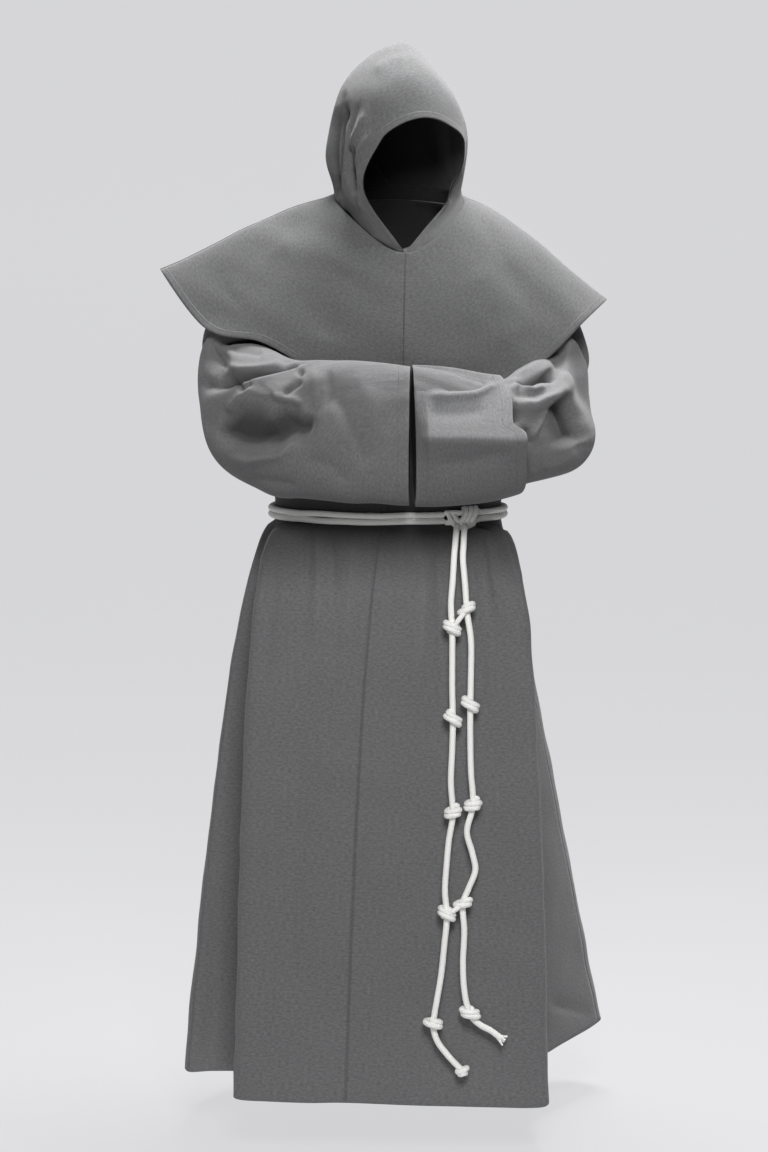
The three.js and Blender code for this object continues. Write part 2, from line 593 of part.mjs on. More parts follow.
// How deep the fold down the hood's right side is at a place.
function hoodFold(up, back) {
  const near = Math.exp(-(((back - HOOD_FOLD.back) / HOOD_FOLD.width) ** 2));
  const low = 1 / (1 + Math.exp((up - HOOD_FOLD.upTo) / (HOOD_FOLD.softness / 4)));
  const clearOfNeck = Math.min(1, up / HOOD_FOLD.softness);
  return HOOD_FOLD.depth * near * low * clearOfNeck;
}

// A point of the hood: across -1 right neck edge, 0 the ridge, 1 left neck edge; back 0 the
// brim to 1 the seam behind.
function hoodPoint(across, back) {
  const side = across < 0 ? -1 : 1;
  const up = 1 - Math.abs(across);
  const places = column(HOOD_ARCHES, 'at');
  const at = (name, k) => smooth(places, HOOD_ARCHES.map((arch) => arch[name][k]), back);
  const hinge = neckRing(side * neckPlace(back));
  hinge.z += NECK_GAP;
  const sideColumn = side < 0 ? 1 : 2;
  const turn = (ahead, sideways, height) => new THREE.Vector3(
    ahead * Math.sin(HOOD_TURN) + sideways * Math.cos(HOOD_TURN),
    -ahead * Math.cos(HOOD_TURN) + sideways * Math.sin(HOOD_TURN),
    height,
  );
  const cheek = turn(at('cheek', 0), at('cheek', sideColumn), at('cheek', 3));
  const temple = turn(at('temple', 0), at('temple', sideColumn), at('temple', 3));
  const crownAt = (sideways) => turn(
    mix(at('temple', 0), at('ridge', 0), HOOD_CROWN.ahead),
    HOOD_CROWN.width * at('temple', sideways),
    mix(at('temple', 3), at('ridge', 1), HOOD_CROWN.height),
  );
  const ridge = turn(at('ridge', 0), at('ridge', 2), at('ridge', 1));
  const path = [hinge, cheek, temple, crownAt(sideColumn), ridge, crownAt(3 - sideColumn)];
  const along = (axis) => smooth(HOOD_STOPS, path.map((p) => p[axis]), up);
  const fold = side < 0 ? hoodFold(up, back) : 0;
  const inwards = turn(0, fold, 0);
  return new THREE.Vector3(along('x'), along('y'), along('z')).add(inwards);
}

const HOOD_UPS = [1, 0.93, 0.85, 0.76, 0.66, 0.56, 0.46, 0.36, 0.26, 0.17, 0.08];
const HOOD_BACKS = NECK_ANGLES.map((angle) => angle / 180);

function buildHood() {
  const across = [...HOOD_UPS.map((a) => -a), 0, ...HOOD_UPS.slice().reverse()];
  const places = across.map((a) => HOOD_BACKS.map((back) => [a, back]));
  const turnAxis = new THREE.Vector3(Math.cos(HOOD_TURN), Math.sin(HOOD_TURN), 0);
  const keepToSide = (inward, i, j) => {
    if (i === 0) inward.copy(neckInward(-neckPlace(HOOD_BACKS[j])));
    if (i === across.length - 1) inward.copy(neckInward(neckPlace(HOOD_BACKS[j])));
    if (j === HOOD_BACKS.length - 1) inward.addScaledVector(turnAxis, -inward.dot(turnAxis));
  };
  add('hood', wallOn(hoodPoint, places, { flip: 1, flatten: keepToSide }));
}

// ---------------------------------------------------------------- rope
function tubeAlong(points, steps) {
  const curve = new THREE.CatmullRomCurve3(points);
  const outline = new THREE.Shape();
  for (let i = 0; i < ROPE.sides; i += 1) {
    const a = (2 * Math.PI * i) / ROPE.sides;
    const corner = [(ROPE.diameter / 2) * Math.cos(a), (ROPE.diameter / 2) * Math.sin(a)];
    if (i === 0) outline.moveTo(...corner);
    else outline.lineTo(...corner);
  }
  const geometry = new THREE.ExtrudeGeometry(outline, { steps, extrudePath: curve, curveSegments: 1 });
  geometry.deleteAttribute('normal');
  geometry.deleteAttribute('uv');
  const merged = mergeVertices(geometry, 1e-3);
  merged.computeVertexNormals();
  return merged;
}

// The belt's line on the waist, a little lower in front; offset up or down for its two turns.
function beltPoint(angle, rise) {
  const [x, y] = waistPoint(((angle + 540) % 360) - 180);
  const out = ROPE.diameter / 2 + BELT.clear;
  const normal = new THREE.Vector2((x - WAIST.x) / WAIST.half ** 2, y / WAIST.front ** 2).normalize();
  const dip = BELT.tilt * Math.cos(radians(angle));
  return new THREE.Vector3(x + normal.x * out, y + normal.y * out, WAIST.height - dip + rise);
}

const knotAngle = THREE.MathUtils.radToDeg(Math.asin((BELT.knotX - WAIST.x) / WAIST.half));

function buildBelt() {
  const start = knotAngle + BELT.knotDegrees;
  const end = knotAngle + 360 - BELT.knotDegrees;
  const rise = (ROPE.diameter + BELT.apart) / 2;
  [['upper', rise], ['lower', -rise]].forEach(([name, offset]) => {
    const angles = Array.from({ length: BELT.samples + 1 }, (_, i) => mix(start, end, i / BELT.samples));
    const points = angles.map((angle) => beltPoint(angle, offset));
    add(`belt_rope_${name}`, tubeAlong(points, BELT.steps), 'rope');
  });
}

const wasm = await Module();
wasm.setup();

function solidOf(geometry) {
  const bare = new THREE.BufferGeometry();
  bare.setAttribute('position', geometry.getAttribute('position').clone());
  if (geometry.getIndex()) bare.setIndex(geometry.getIndex().clone());
  const merged = mergeVertices(bare, 1e-4);
  return new wasm.Manifold(new wasm.Mesh({
    numProp: 3,
    vertProperties: new Float32Array(merged.getAttribute('position').array),
    triVerts: new Uint32Array(merged.getIndex().array),
  }));
}

function geometryOf(solid) {
  const mesh = solid.getMesh();
  const geometry = new THREE.BufferGeometry();
  geometry.setAttribute('position', new THREE.Float32BufferAttribute(mesh.vertProperties, 3));
  geometry.setIndex(Array.from(mesh.triVerts));
  geometry.computeVertexNormals();
  return geometry;
}

// The slip knot that ties the belt: strands along it above and below, and three turns across.
function buildBeltKnot() {
  const middle = beltPoint(knotAngle, 0);
  const across = beltPoint(knotAngle + 4, 0).sub(beltPoint(knotAngle - 4, 0)).normalize();
  const outward = new THREE.Vector3(across.y, -across.x, 0);
  const place = (along, out, rise) => middle.clone().addScaledVector(across, along)
    .addScaledVector(outward, out).add(new THREE.Vector3(0, 0, rise));
  const strands = [
    ...STRAND_RISES.map((rise) => KNOT_STRAND.map((at) => place(at.along, at.out, rise))),
    ...TURN_PLACES.map((along) => KNOT_TURN.map((at) => place(along + at.along, at.out, at.rise))),
  ];
  const solids = strands.map((points) => solidOf(tubeAlong(points, ROPE.turnSteps)));
  let knot = solids[0];
  solids.slice(1).forEach((solid) => {
    knot = knot.add(solid);
  });
  add('belt_knot', geometryOf(knot), 'rope');
}

// A knot on a hanging end: a rounded bead with slanting turns and a bore for its rope.
function knotBead(curve, at) {
  const reach = KNOT.length / 2 / curve.getLength();
  const above = curve.getPointAt(at - reach);
  const below = curve.getPointAt(at + reach);
  const axis = below.clone().sub(above).normalize();
  const chordMiddle = above.lerp(below, 0.5);
  const bend = chordMiddle.distanceTo(curve.getPointAt(at));
  const centre = chordMiddle.lerp(curve.getPointAt(at), 0.5);
  const bore = ROPE.diameter / 2 / Math.cos(Math.PI / KNOT.sides) + KNOT.bore + KNOT.bendRoom * bend;
  const turn = new THREE.Quaternion().setFromUnitVectors(new THREE.Vector3(0, 0, 1), axis);
  const ring = (height, radius, lobe) => Array.from({ length: KNOT.sides }, (_, i) => {
    const a = (2 * Math.PI * i) / KNOT.sides;
    const r = radius * (1 + lobe * Math.cos(2 * a + KNOT.twist * height));
    const z = (height * KNOT.length) / 2;
    return new THREE.Vector3(r * Math.cos(a), r * Math.sin(a), z).applyQuaternion(turn).add(centre);
  });
  const least = bore + KNOT.wall;
  const radii = KNOT_PROFILE.map((row) => Math.max(KNOT.half * row.share, least));
  const outer = KNOT_PROFILE.map((row, i) => ring(row.height, radii[i], KNOT.lobe));
  const inner = KNOT_PROFILE.map((row) => ring(row.height, bore, 0));
  return wallBetween(outer, inner, true);
}

function buildRopeEnds() {
  Object.entries(ROPE_ENDS).forEach(([side, { route, knots }]) => {
    const points = route.map((p) => new THREE.Vector3(...p));
    const curve = new THREE.CatmullRomCurve3(points);
    add(`rope_end_${side}`, tubeAlong(points, ROPE.endSteps), 'rope');
    knots.forEach((at, i) => add(`rope_knot_${side}_${i + 1}`, knotBead(curve, at), 'rope'));
  });
}

buildTunic();
buildSleeve('sleeve_right', sleeveRight, -1);
buildSleeve('sleeve_left', sleeveLeft, 1);
buildCuff();
buildCape();
buildHood();
buildBelt();
buildBeltKnot();
buildRopeEnds();
habit.position.set(0, 0, -SHOULDER_HEIGHT);

export default habit;
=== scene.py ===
"""A monk's habit, worn but empty: a long tunic with wide crossed sleeves, a shoulder cape with a
pointed hood, and a knotted rope belt. Shapes are worked out in millimetres, with heights above
the floor that the wearer would stand on, and placed in metres with the shoulders at the origin.
"left" and "right" are the wearer's own: left is +X. The garment's front faces -Y."""

import math

import bpy
import numpy as np
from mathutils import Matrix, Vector


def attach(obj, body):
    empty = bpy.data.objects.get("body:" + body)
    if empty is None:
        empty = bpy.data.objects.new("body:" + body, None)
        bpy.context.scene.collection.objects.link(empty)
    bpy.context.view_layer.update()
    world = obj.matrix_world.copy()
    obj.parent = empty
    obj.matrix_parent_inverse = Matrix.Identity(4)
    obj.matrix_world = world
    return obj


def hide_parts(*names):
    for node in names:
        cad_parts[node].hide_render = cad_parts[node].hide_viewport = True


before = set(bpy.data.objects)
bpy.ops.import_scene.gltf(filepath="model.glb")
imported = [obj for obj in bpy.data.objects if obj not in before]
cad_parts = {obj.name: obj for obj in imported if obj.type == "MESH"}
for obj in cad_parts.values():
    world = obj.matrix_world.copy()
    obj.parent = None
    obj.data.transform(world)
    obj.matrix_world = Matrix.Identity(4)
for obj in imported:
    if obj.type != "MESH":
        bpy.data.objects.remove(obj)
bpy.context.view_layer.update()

# ---------------------------------------------------------------- driving sizes
# The solids have the same, but for NECK_GAP, the sleeves between armhole and mouth, CUFF,
# CUFF_STAND, CUFF_RIDGE, HOOD_ARCHES from 0.48 on, HOOD_CROWN, and the swell of the skirt's folds
# at 46 and 52 degrees. CAPE_SHOULDER, HOOD_PEAK and the cuff's square_off are only here.
MM = 0.001
SHOULDER_HEIGHT = 1480
CLOTH = 2
SEAM_GAP = 0.36
SEAM_SLIT = 0.04
WAIST = {"height": 1005, "band": 15, "x": -8, "half": 181, "front": 125, "back": 125}
HEM_HEIGHT = 97
ARMHOLE = {"low": 4, "high": 7, "opening": 36}
NECK = {"half": 102, "front": 112, "back": 102, "ahead": 4, "shift": 18, "chin": 1413,
        "rise": 108, "early": 4.3}
NECK_GAP = -0.9
SEAM_DEGREES = 0.35
CAPE_LIFT = 0.55
HOOD_TURN = math.radians(24)
HOOD_FOLD = {"back": 0.42, "width": 0.07, "up_to": 0.5, "softness": 0.16, "depth": 13}
ROPE = 9.6
# Readings along a hanging end, and round a sleeve or cuff.
END_STEPS = 440
ROUND_STEPS = 156
# How far a free edge is rounded beyond its last row, and how much of a section of a sleeve, each
# way, its direction is measured over.
RIM = 0.55
TRAVEL = 0.2
# A sharp ridge's rounding and slope. A crease: share of its length in which it fades at each end,
# least depth there, share that is soft, and the turn to the viewer in which it sets in.
ROOF = {"round": 0.02, "slope": 1.3}
CREASE = {"taper": 0.22, "pinch": 0.15, "soft": 0.45, "grazing": 0.05, "facing": 0.4}
# Degrees beside a side seam in which creases fade.
SEAM_FADE = {"tunic": 10, "cape": 16}
# Unevenness of the cloth: random seed, size of the bumps and their depth.
UNEVEN = {"tunic": (5, 120, 1.0), "cape": (21, 110, 1.0), "hood": (31, 90, 1.0),
          "sleeve_left": (12, 90, 1.3), "sleeve_right": (10, 90, 1.3)}
MIDDLES = {"tunic": np.array([0, 0, 800.0]), "cape": np.array([0, 0, 1150.0]),
           "hood": np.array([0, 0, 1570.0])}
# Painted shadow of the sleeves round the tunic's waist: its height in metres from the shoulders, within
# what distance of it the cloth is fully darkened, and beyond what distance not at all.
WAIST_SHADOW_BAND = {"level": -0.475, "dark": 0.02, "reach": 0.125}
BELT = {"knot_x": 104, "knot_degrees": 11, "tilt": 4, "clear": 1.56, "apart": 0.5}


def table(names, rows):
    """A table with named columns, as {name: array of the column}."""
    return dict(zip(names.split(), np.array(rows, float).T))


# Folds of the skirt round the body: place, hem point, lift of the hem, and how soon it swells.
SKIRT_FOLDS = table("angle x y lift swell", [
    (0, -75, -207, -5, 0.45), (14, 30, -209, -8, 0.45), (32, 148, -206, -12, 0.42),
    (46, 230, -201, -14, 0.2), (52, 245, -184, -10, 0.2), (60, 240, -110, 2, 0.35),
    (68, 238, -30, 12, 0.55), (76, 266, 18, 16, 0.8), (86, 330, 112, 24, 1),
    (92, 352, 150, 28, 1), (98, 349, 184, 22, 0.9), (114, 296, 214, 8, 0.7),
    (130, 226, 196, 4, 0.65), (143, 168, 246, 0, 0.6), (157, 100, 198, 0, 0.7),
    (172, 36, 252, 0, 0.55), (186, -34, 206, 0, 0.7), (200, -98, 250, 0, 0.6),
    (214, -166, 192, 0, 0.7), (229, -238, 204, 2, 0.6), (246, -312, 106, 6, 0.58),
    (262, -338, -8, 2, 0.55), (270, -332, -56, 0, 0.55), (278, -292, -52, 0, 0.55),
    (288, -246, -60, 0, 0.5), (296, -240, -112, 0, 0.35), (306, -251, -180, -2, 0.22),
    (312, -241, -196, -3, 0.22), (328, -196, -203, -4, 0.4), (344, -134, -207, -5, 0.45),
])

# Sections of the body above the belt: heights in front, at the side and behind, and half sizes.
BODY_SECTIONS = table("front side rear half fore aft", [
    (990, 990, 990, 181, 125, 125), (1020, 1020, 1020, 181, 125, 125),
    (1045, 1045, 1045, 188, 133, 133), (1100, 1100, 1100, 194, 139, 140),
    (1190, 1190, 1190, 196, 138, 142), (1270, 1280, 1280, 196, 135, 142),
    (1345, 1370, 1370, 194, 126, 136), (1390, 1430, 1430, 186, 108, 122),
    (1408, 1473, 1478, 140, 96, 106), (1416, 1492, 1502, 92, 88, 94),
])
SWAY = {"from": 1, "over": 2}

# Sleeve sections from armhole to mouth: the points inside and outside the bend, half thickness.
SLEEVE_COLUMNS = "inner_x inner_y inner_h outer_x outer_y outer_h half square"
SLEEVE_RIGHT = table(SLEEVE_COLUMNS, [
    (-218, -2, 1194, -232, 0, 1406, 84, 1), (-220, -10, 1190, -268, -5, 1345, 80, 1),
    (-226, -54, 1248, -273, -16, 1236, 64, 1), (-214, -94, 1269, -274, -52, 1150, 62, 0.95),
    (-195, -132, 1264, -250, -100, 1076, 71, 0.95), (-168, -168, 1254, -192, -152, 1044, 64, 0.95),
    (-131, -197, 1248, -136, -192, 1037, 58, 1.0), (-66, -222, 1250, -66, -221, 1033, 50, 1.05),
    (25, -227, 1240, 23, -227, 1029, 45, 0.9),
])
SLEEVE_LEFT = table(SLEEVE_COLUMNS, [
    (218, -2, 1194, 232, 0, 1402, 84, 1), (220, -10, 1192, 268, -5, 1335, 80, 1),
    (223, -52, 1238, 261, -16, 1238, 65, 1), (211, -93, 1245, 287, -56, 1120, 58, 0.9),
    (197, -132, 1234, 280, -99, 1079, 68, 0.95), (174, -169, 1219, 204, -154, 1057, 63, 1.05),
    (142, -199, 1222, 146, -194, 1041, 54, 1.1), (84, -222, 1234, 86, -221, 1034, 48, 1.15),
    (28.5, -227, 1240, 33, -227, 1030, 44, 1.15),
])
SLEEVE_DENTS = "along round reach spread depth"
DENTS_RIGHT = table(SLEEVE_DENTS, [
    (3.2, 62, 0.9, 16, 16), (2.1, 66, 0.8, 14, -8), (4.5, 92, 0.8, 20, 9),
    (5.6, 78, 0.35, 30, -6), (6.3, 84, 0.3, 36, 5),
])
DENTS_LEFT = table(SLEEVE_DENTS, [
    (3.2, 48, 0.9, 14, 14), (3.6, 88, 0.7, 24, 12), (4.1, 66, 0.9, 12, -9),
    (2.4, 100, 0.6, 16, -6),
])
CUFF = {"mouth": 8, "upper_end": 6.1, "lower_end": 5.85, "step_at": 79, "step_width": 1.4,
        "rear_step": 250, "rear_width": 12, "square_off": 0.5}
CUFF_STAND = {"lift": 9, "least": 0.15, "fullest": 110, "flare": 0.8}
CUFF_RIDGE = {"height": 31, "at": 90, "width": 27, "rise": 6}

# Lines of the cape from neck to hem: place round the neck, hem point and outward crown.
CAPE_LINES = table("angle x y height crown", [
    (0, 14, -160, 1172, 13), (25, 100, -154, 1185, 15), (45, 184, -130, 1217, 18),
    (60, 240, -108, 1250, 20), (75, 300, -76, 1308, 16), (88, 340, -8, 1342, 20),
    (102, 312, 66, 1315, 24), (122, 248, 122, 1265, 28), (150, 130, 156, 1215, 27),
    (180, 0, 168, 1198, 27), (210, -130, 156, 1222, 27), (238, -256, 122, 1285, 28),
    (258, -334, 64, 1348, 20), (272, -369, -4, 1388, 9), (286, -294, -84, 1297, 12),
    (302, -206, -126, 1276, 17), (317, -144, -147, 1243, 16), (336, -72, -158, 1196, 14),
])
CAPE_SIDE = 88
CAPE_SHOULDER = {"crown": 14, "rise": 0.85, "fall": 2.2, "most": 0.1645, "power": 4}

# Arches of the hood from brim to back seam: two points on each side, and the ridge.
HOOD_ARCHES = table(
    "at cheek_y cheek_r cheek_l cheek_h temple_y temple_r temple_l temple_h ridge_y ridge_h ridge_x", [
        (0, 86, -88, 62, 1508, 98, -66, 80, 1582, 121, 1619, 0),
        (0.22, 60, -104, 92, 1520, 66, -90, 96, 1616, 88, 1688, 4),
        (0.48, 10, -106, 103, 1548, 12, -85, 90, 1656, 40, 1726, 8),
        (0.75, -62, -88, 88, 1572, -50, -66, 74, 1672, 12, 1740, 10),
        (1, -118, -0.3, 0.3, 1586, -98, -0.3, 0.3, 1674, -6, 1736, 10),
    ])
HOOD_STOPS = (0, 0.32, 0.64, 0.84, 1, 1.16)
HOOD_CROWN = {"ahead": 0.6, "width": 0.6, "height": 0.7}
HOOD_PEAK = {"rise": 7, "width": 0.1, "at": 0.6, "length": 0.3}

# Routes of the two hanging rope ends, as the solids have them, and their knots: place along, turns
# and their pitch, how far the turns stand off, their slant, and where they start.
KNOT_COLUMNS = "at turns pitch wide tilt spin"
LINKED_KNOTS = (1, 4)
ROPE_ENDS = {
    "right": {
        "route": [
            (99, -126, 988.7), (96, -144, 963), (94, -152, 941), (92, -162, 909), (89, -169, 871),
            (91, -175, 832), (91, -179, 794), (91, -184, 743), (92, -188, 692), (91, -193, 648),
            (89, -197, 598), (92, -200, 547), (86, -203, 508), (82, -206, 465), (80, -209, 428),
            (83, -211, 392), (79, -214, 345), (74, -217, 298), (68, -219, 262), (64, -220, 238),
            (62, -221, 218), (68, -222, 196), (82, -222, 176), (96, -222, 160), (108, -222, 148)],
        "knots": table(KNOT_COLUMNS, [
            (0.186, 2.5, 6.5, 5.6, 4, 0.9), (0.348, 1.7, 7, 6.4, 5, 2.2),
            (0.514, 2.2, 6.5, 5.4, -3, 0.4), (0.697, 2.5, 6.5, 5.6, 4, 1.5),
            (0.895, 1.6, 6.5, 7.4, 2, 3.0)]),
    },
    "left": {
        "route": [
            (111, -125, 988.7), (109, -147, 963), (108, -153, 941), (111, -162, 903),
            (114, -169, 860), (120, -175, 817), (120, -180, 768), (119, -186, 715),
            (119, -189, 671), (120, -194, 617), (123, -198, 561), (114, -201, 521),
            (122, -203, 489), (127, -205, 462), (117, -207, 434), (108, -209, 410),
            (110, -211, 368), (108, -214, 314), (110, -217, 276), (115, -218, 250),
            (124, -219, 230), (137, -219, 219), (152, -219, 211), (166, -219, 200)],
        "knots": table(KNOT_COLUMNS, [
            (0.162, 1.6, 6.5, 6.2, -4, 2.6), (0.339, 1.8, 7, 6.2, 4, 1.2),
            (0.527, 2.1, 6.5, 5.6, -3, 0.2), (0.718, 1.6, 6.5, 6.2, -4, 2.9),
            (0.925, 2.2, 7, 5.8, 5, 1.0)]),
    },
}

# ---------------------------------------------------------------- camera
EYE = np.array([-14.4, -4200.0, 1340.0])
EYE_PITCH = math.radians(6.007)
LENS = 82.03
FORWARD = np.array([0, math.cos(EYE_PITCH), -math.sin(EYE_PITCH)])
UPWARD = np.array([0, math.sin(EYE_PITCH), math.cos(EYE_PITCH)])
AIM_HEIGHT = 898


def placed(points):
    """Points in millimetres above the wearer's floor, as metres from the shoulders."""
    return (np.asarray(points, float) - [0, 0, SHOULDER_HEIGHT]) * MM


def make_camera():
    camera = bpy.data.objects.new("front_camera", bpy.data.cameras.new("front_camera"))
    camera.data.lens = LENS
    camera.location = placed(EYE)
    camera.rotation_euler = (math.pi / 2 - EYE_PITCH, 0, 0)
    bpy.context.scene.collection.objects.link(camera)
    bpy.context.scene.camera = camera


# ---------------------------------------------------------------- curves through columns
def smooth(places, values, at, period=0.0):
    """A smooth curve through values at places, read at `at`; values may hold a row a reading."""
    places, values, at = (np.asarray(a, float) for a in (places, values, at))
    if period:
        at = places[0] + (at - places[0]) % period
        places = np.concatenate([places[-1:] - period, places, places[:2] + period])
        values = np.concatenate([values[..., -1:], values, values[..., :2]], -1)
    last = len(places) - 1
    spare = 1 if period else 0
    i = np.clip(np.searchsorted(places, at, side="right") - 1, spare, last - 1 - spare)

    def pick(k):
        return values[k] if values.ndim == 1 else np.take_along_axis(values, k[..., None], -1)[..., 0]

    def slope(k):
        low, high = np.maximum(k - 1, 0), np.minimum(k + 1, last)
        return (pick(high) - pick(low)) / (places[high] - places[low])

    span = places[i + 1] - places[i]
    t = np.clip((at - places[i]) / span, 0, 1)
    t2, t3 = t * t, t * t * t
    return ((2 * t3 - 3 * t2 + 1) * pick(i) + (t3 - 2 * t2 + t) * span * slope(i)
            + (3 * t2 - 2 * t3) * pick(i + 1) + (t3 - t2) * span * slope(i + 1))


def mix(a, b, t):
    return a + (b - a) * t


def bell(x):
    return np.exp(-x * x)


def roof(x):
    """A ridge with a narrow crest and straight sides."""
    rounding = ROOF["round"]
    return np.exp(-(np.sqrt(x * x + rounding) - math.sqrt(rounding)) * ROOF["slope"])


def ease(low, high, x):
    t = np.clip((x - low) / (high - low), 0, 1)
    return t * t * (3 - 2 * t)


def joined(*columns):
    """Points from their x, y and height."""
    return np.stack(np.broadcast_arrays(*columns), -1).astype(float)


def unit(vectors):
    return vectors / np.maximum(np.linalg.norm(vectors, axis=-1, keepdims=True), 1e-12)


def normal_of(surface, u, v, step=1e-3):
    du = surface(u + step, v) - surface(u - step, v)
    dv = surface(u, v + step) - surface(u, v - step)
    return unit(np.cross(du, dv))


# ---------------------------------------------------------------- the tunic's surface
def waist_point(angle):
    a = np.radians(angle)
    depth = np.where(np.abs(angle) <= 90, WAIST["front"], WAIST["back"])
    return WAIST["x"] + WAIST["half"] * np.sin(a), -depth * np.cos(a)


def turned(angle):
    return (angle + 540) % 360 - 180


def skirt_point(angle, drop):
    folds = SKIRT_FOLDS
    share = np.power(np.maximum(drop, 0)[..., None], folds["swell"])
    waist_x, waist_y = waist_point(turned(folds["angle"]))
    x = smooth(folds["angle"], mix(waist_x, folds["x"], share), angle, 360)
    y = smooth(folds["angle"], mix(waist_y, folds["y"], share), angle, 360)
    lift = smooth(folds["angle"], folds["lift"], angle, 360)
    return joined(x, y, mix(WAIST["height"] - WAIST["band"], HEM_HEIGHT + lift, drop))


def body_point(angle, level):
    a = np.radians(turned(angle))
    side, ahead = np.sin(a), np.cos(a)
    numbers = np.arange(len(BODY_SECTIONS["half"]))
    at = {name: smooth(numbers, values, level) for name, values in BODY_SECTIONS.items()}
    end = np.where(ahead > 0, at["front"], at["rear"])
    depth = np.where(ahead > 0, at["fore"], at["aft"])
    drift = WAIST["x"] * np.clip(1 - (level - SWAY["from"]) / SWAY["over"], 0, 1)
    return joined(drift + at["half"] * side, -depth * ahead, mix(at["side"], end, ahead * ahead))


def tunic_point(angle, level):
    angle, level = np.broadcast_arrays(np.asarray(angle, float), np.asarray(level, float))
    skirt = skirt_point(angle, np.maximum(-level, 0))
    body = body_point(angle, np.maximum(level, 0))
    return np.where((level < 0)[..., None], skirt, body)


def armhole_reach(level):
    t = 2 * (level - ARMHOLE["low"]) / (ARMHOLE["high"] - ARMHOLE["low"]) - 1
    return ARMHOLE["opening"] * np.sqrt(np.maximum(1 - t * t, 0))


def armhole_point(round_, side):
    level = mix(ARMHOLE["low"], ARMHOLE["high"], (1 - np.cos(np.radians(round_))) / 2)
    angle = 90 - ARMHOLE["opening"] * np.sin(np.radians(round_))
    return tunic_point(side * angle, level)


# ---------------------------------------------------------------- the sleeves' and the cuff's
def signed_power(value, power):
    return np.sign(value) * np.power(np.abs(value), power)


def sleeve_surface(sections, dents, side):
    numbers = np.arange(len(sections["half"]))

    def line(name, along):
        return joined(*(smooth(numbers, sections[f"{name}_{axis}"], along) for axis in "xyh"))

    def section_point(round_, along):
        k = np.maximum(along, 0)
        low, high = line("inner", k), line("outer", k)
        travel = (line("inner", k + TRAVEL) + line("outer", k + TRAVEL)
                  - line("inner", k - TRAVEL) - line("outer", k - TRAVEL))
        across = (high - low) / 2
        ahead = unit(np.cross(across, travel))
        ahead = ahead * np.where(ahead[..., 1:2] > 0, -1, 1)
        half = smooth(numbers, sections["half"], k)
        for i in range(len(dents["depth"])):
            far = (along - dents["along"][i]) / dents["reach"][i]
            turn = (round_ - dents["round"][i]) / dents["spread"][i]
            half = half - dents["depth"][i] * np.exp(-far * far - turn * turn)
        square = smooth(numbers, sections["square"], k)
        c = signed_power(np.cos(np.radians(round_)), square)[..., None]
        s = signed_power(np.sin(np.radians(round_)), square)
        return (low + high) / 2 - across * c + ahead * (half * s)[..., None]

    def surface(round_, along):
        round_, along = np.broadcast_arrays(np.asarray(round_, float), np.asarray(along, float))
        rest = section_point(round_, along)
        edge = armhole_point(round_, side)
        middle = (armhole_point(np.float64(0), side) + armhole_point(np.float64(180), side)) / 2
        inward = (middle - edge) * [0, 1, 1]
        edge = edge + unit(inward) * SEAM_GAP
        t = np.clip(along + 1, 0, 1)
        grown = t * t * (3 - 2 * t)
        root = mix(edge, rest, np.stack([t, grown, grown], -1))
        return np.where((along < 0)[..., None], root, rest)

    return surface


sleeve_right_point = sleeve_surface(SLEEVE_RIGHT, DENTS_RIGHT, -1)
sleeve_left_point = sleeve_surface(SLEEVE_LEFT, DENTS_LEFT, 1)


def cuff_point(round_, along):
    round_, along = np.broadcast_arrays(np.asarray(round_, float), np.asarray(along, float))
    lower = 1 / (1 + np.exp(-(round_ - CUFF["step_at"]) / CUFF["step_width"]))
    rear = 1 / (1 + np.exp((round_ - CUFF["rear_step"]) / CUFF["rear_width"]))
    edge = mix(CUFF["upper_end"], CUFF["lower_end"], lower * rear)
    edge = edge - CUFF["square_off"] * np.abs(np.cos(np.radians(round_))) ** 1.5
    k = mix(edge, CUFF["mouth"], along)
    free = np.maximum(1 - along, 0)
    ridge = CUFF_RIDGE["height"] * roof((round_ - CUFF_RIDGE["at"]) / CUFF_RIDGE["width"])
    facing = (1 + np.cos(np.radians(round_ - CUFF_STAND["fullest"]))) / 2
    stand = CUFF_STAND["lift"] * free ** CUFF_STAND["flare"] * mix(CUFF_STAND["least"], 1, facing)
    off = CLOTH + SEAM_GAP + stand + ridge * np.minimum(1, CUFF_RIDGE["rise"] * free)
    return sleeve_left_point(round_, k) - normal_of(sleeve_left_point, round_, k) * off[..., None]


# ---------------------------------------------------------------- the cape's and the hood's
def neck_ring(angle):
    a = np.radians(turned(angle))
    depth = np.where(np.abs(turned(angle)) < 90, NECK["front"], NECK["back"])
    behind = np.sin(a / 2) ** 2
    climb = NECK["early"] * behind / (1 + (NECK["early"] - 1) * behind)
    return joined(NECK["half"] * np.sin(a) + NECK["shift"] * np.cos(a / 2) ** 2,
                  -depth * np.cos(a) - NECK["ahead"], NECK["chin"] + NECK["rise"] * climb)


def cape_point(angle, fall):
    angle, fall = np.broadcast_arrays(np.asarray(angle, float), np.asarray(fall, float))
    neck = neck_ring(angle)
    at = [smooth(CAPE_LINES["angle"], CAPE_LINES[name], angle, 360)
          for name in ("x", "y", "height", "crown")]
    hem = joined(*at[:3])
    outward = unit((hem - neck) * [1, 1, 0]) + [0, 0, CAPE_LIFT]
    early = fall ** CAPE_SHOULDER["rise"] * (1 - fall) ** CAPE_SHOULDER["fall"] / CAPE_SHOULDER["most"]
    over_shoulder = np.sin(np.radians(angle)) ** CAPE_SHOULDER["power"]
    arch = mix(4 * fall * (1 - fall) * at[3], CAPE_SHOULDER["crown"] * early, over_shoulder)
    return mix(neck, hem, fall[..., None]) + outward * arch[..., None]


def hood_turned(ahead, sideways, height):
    sin, cos = math.sin(HOOD_TURN), math.cos(HOOD_TURN)
    return joined(ahead * sin + sideways * cos, sideways * sin - ahead * cos, height)


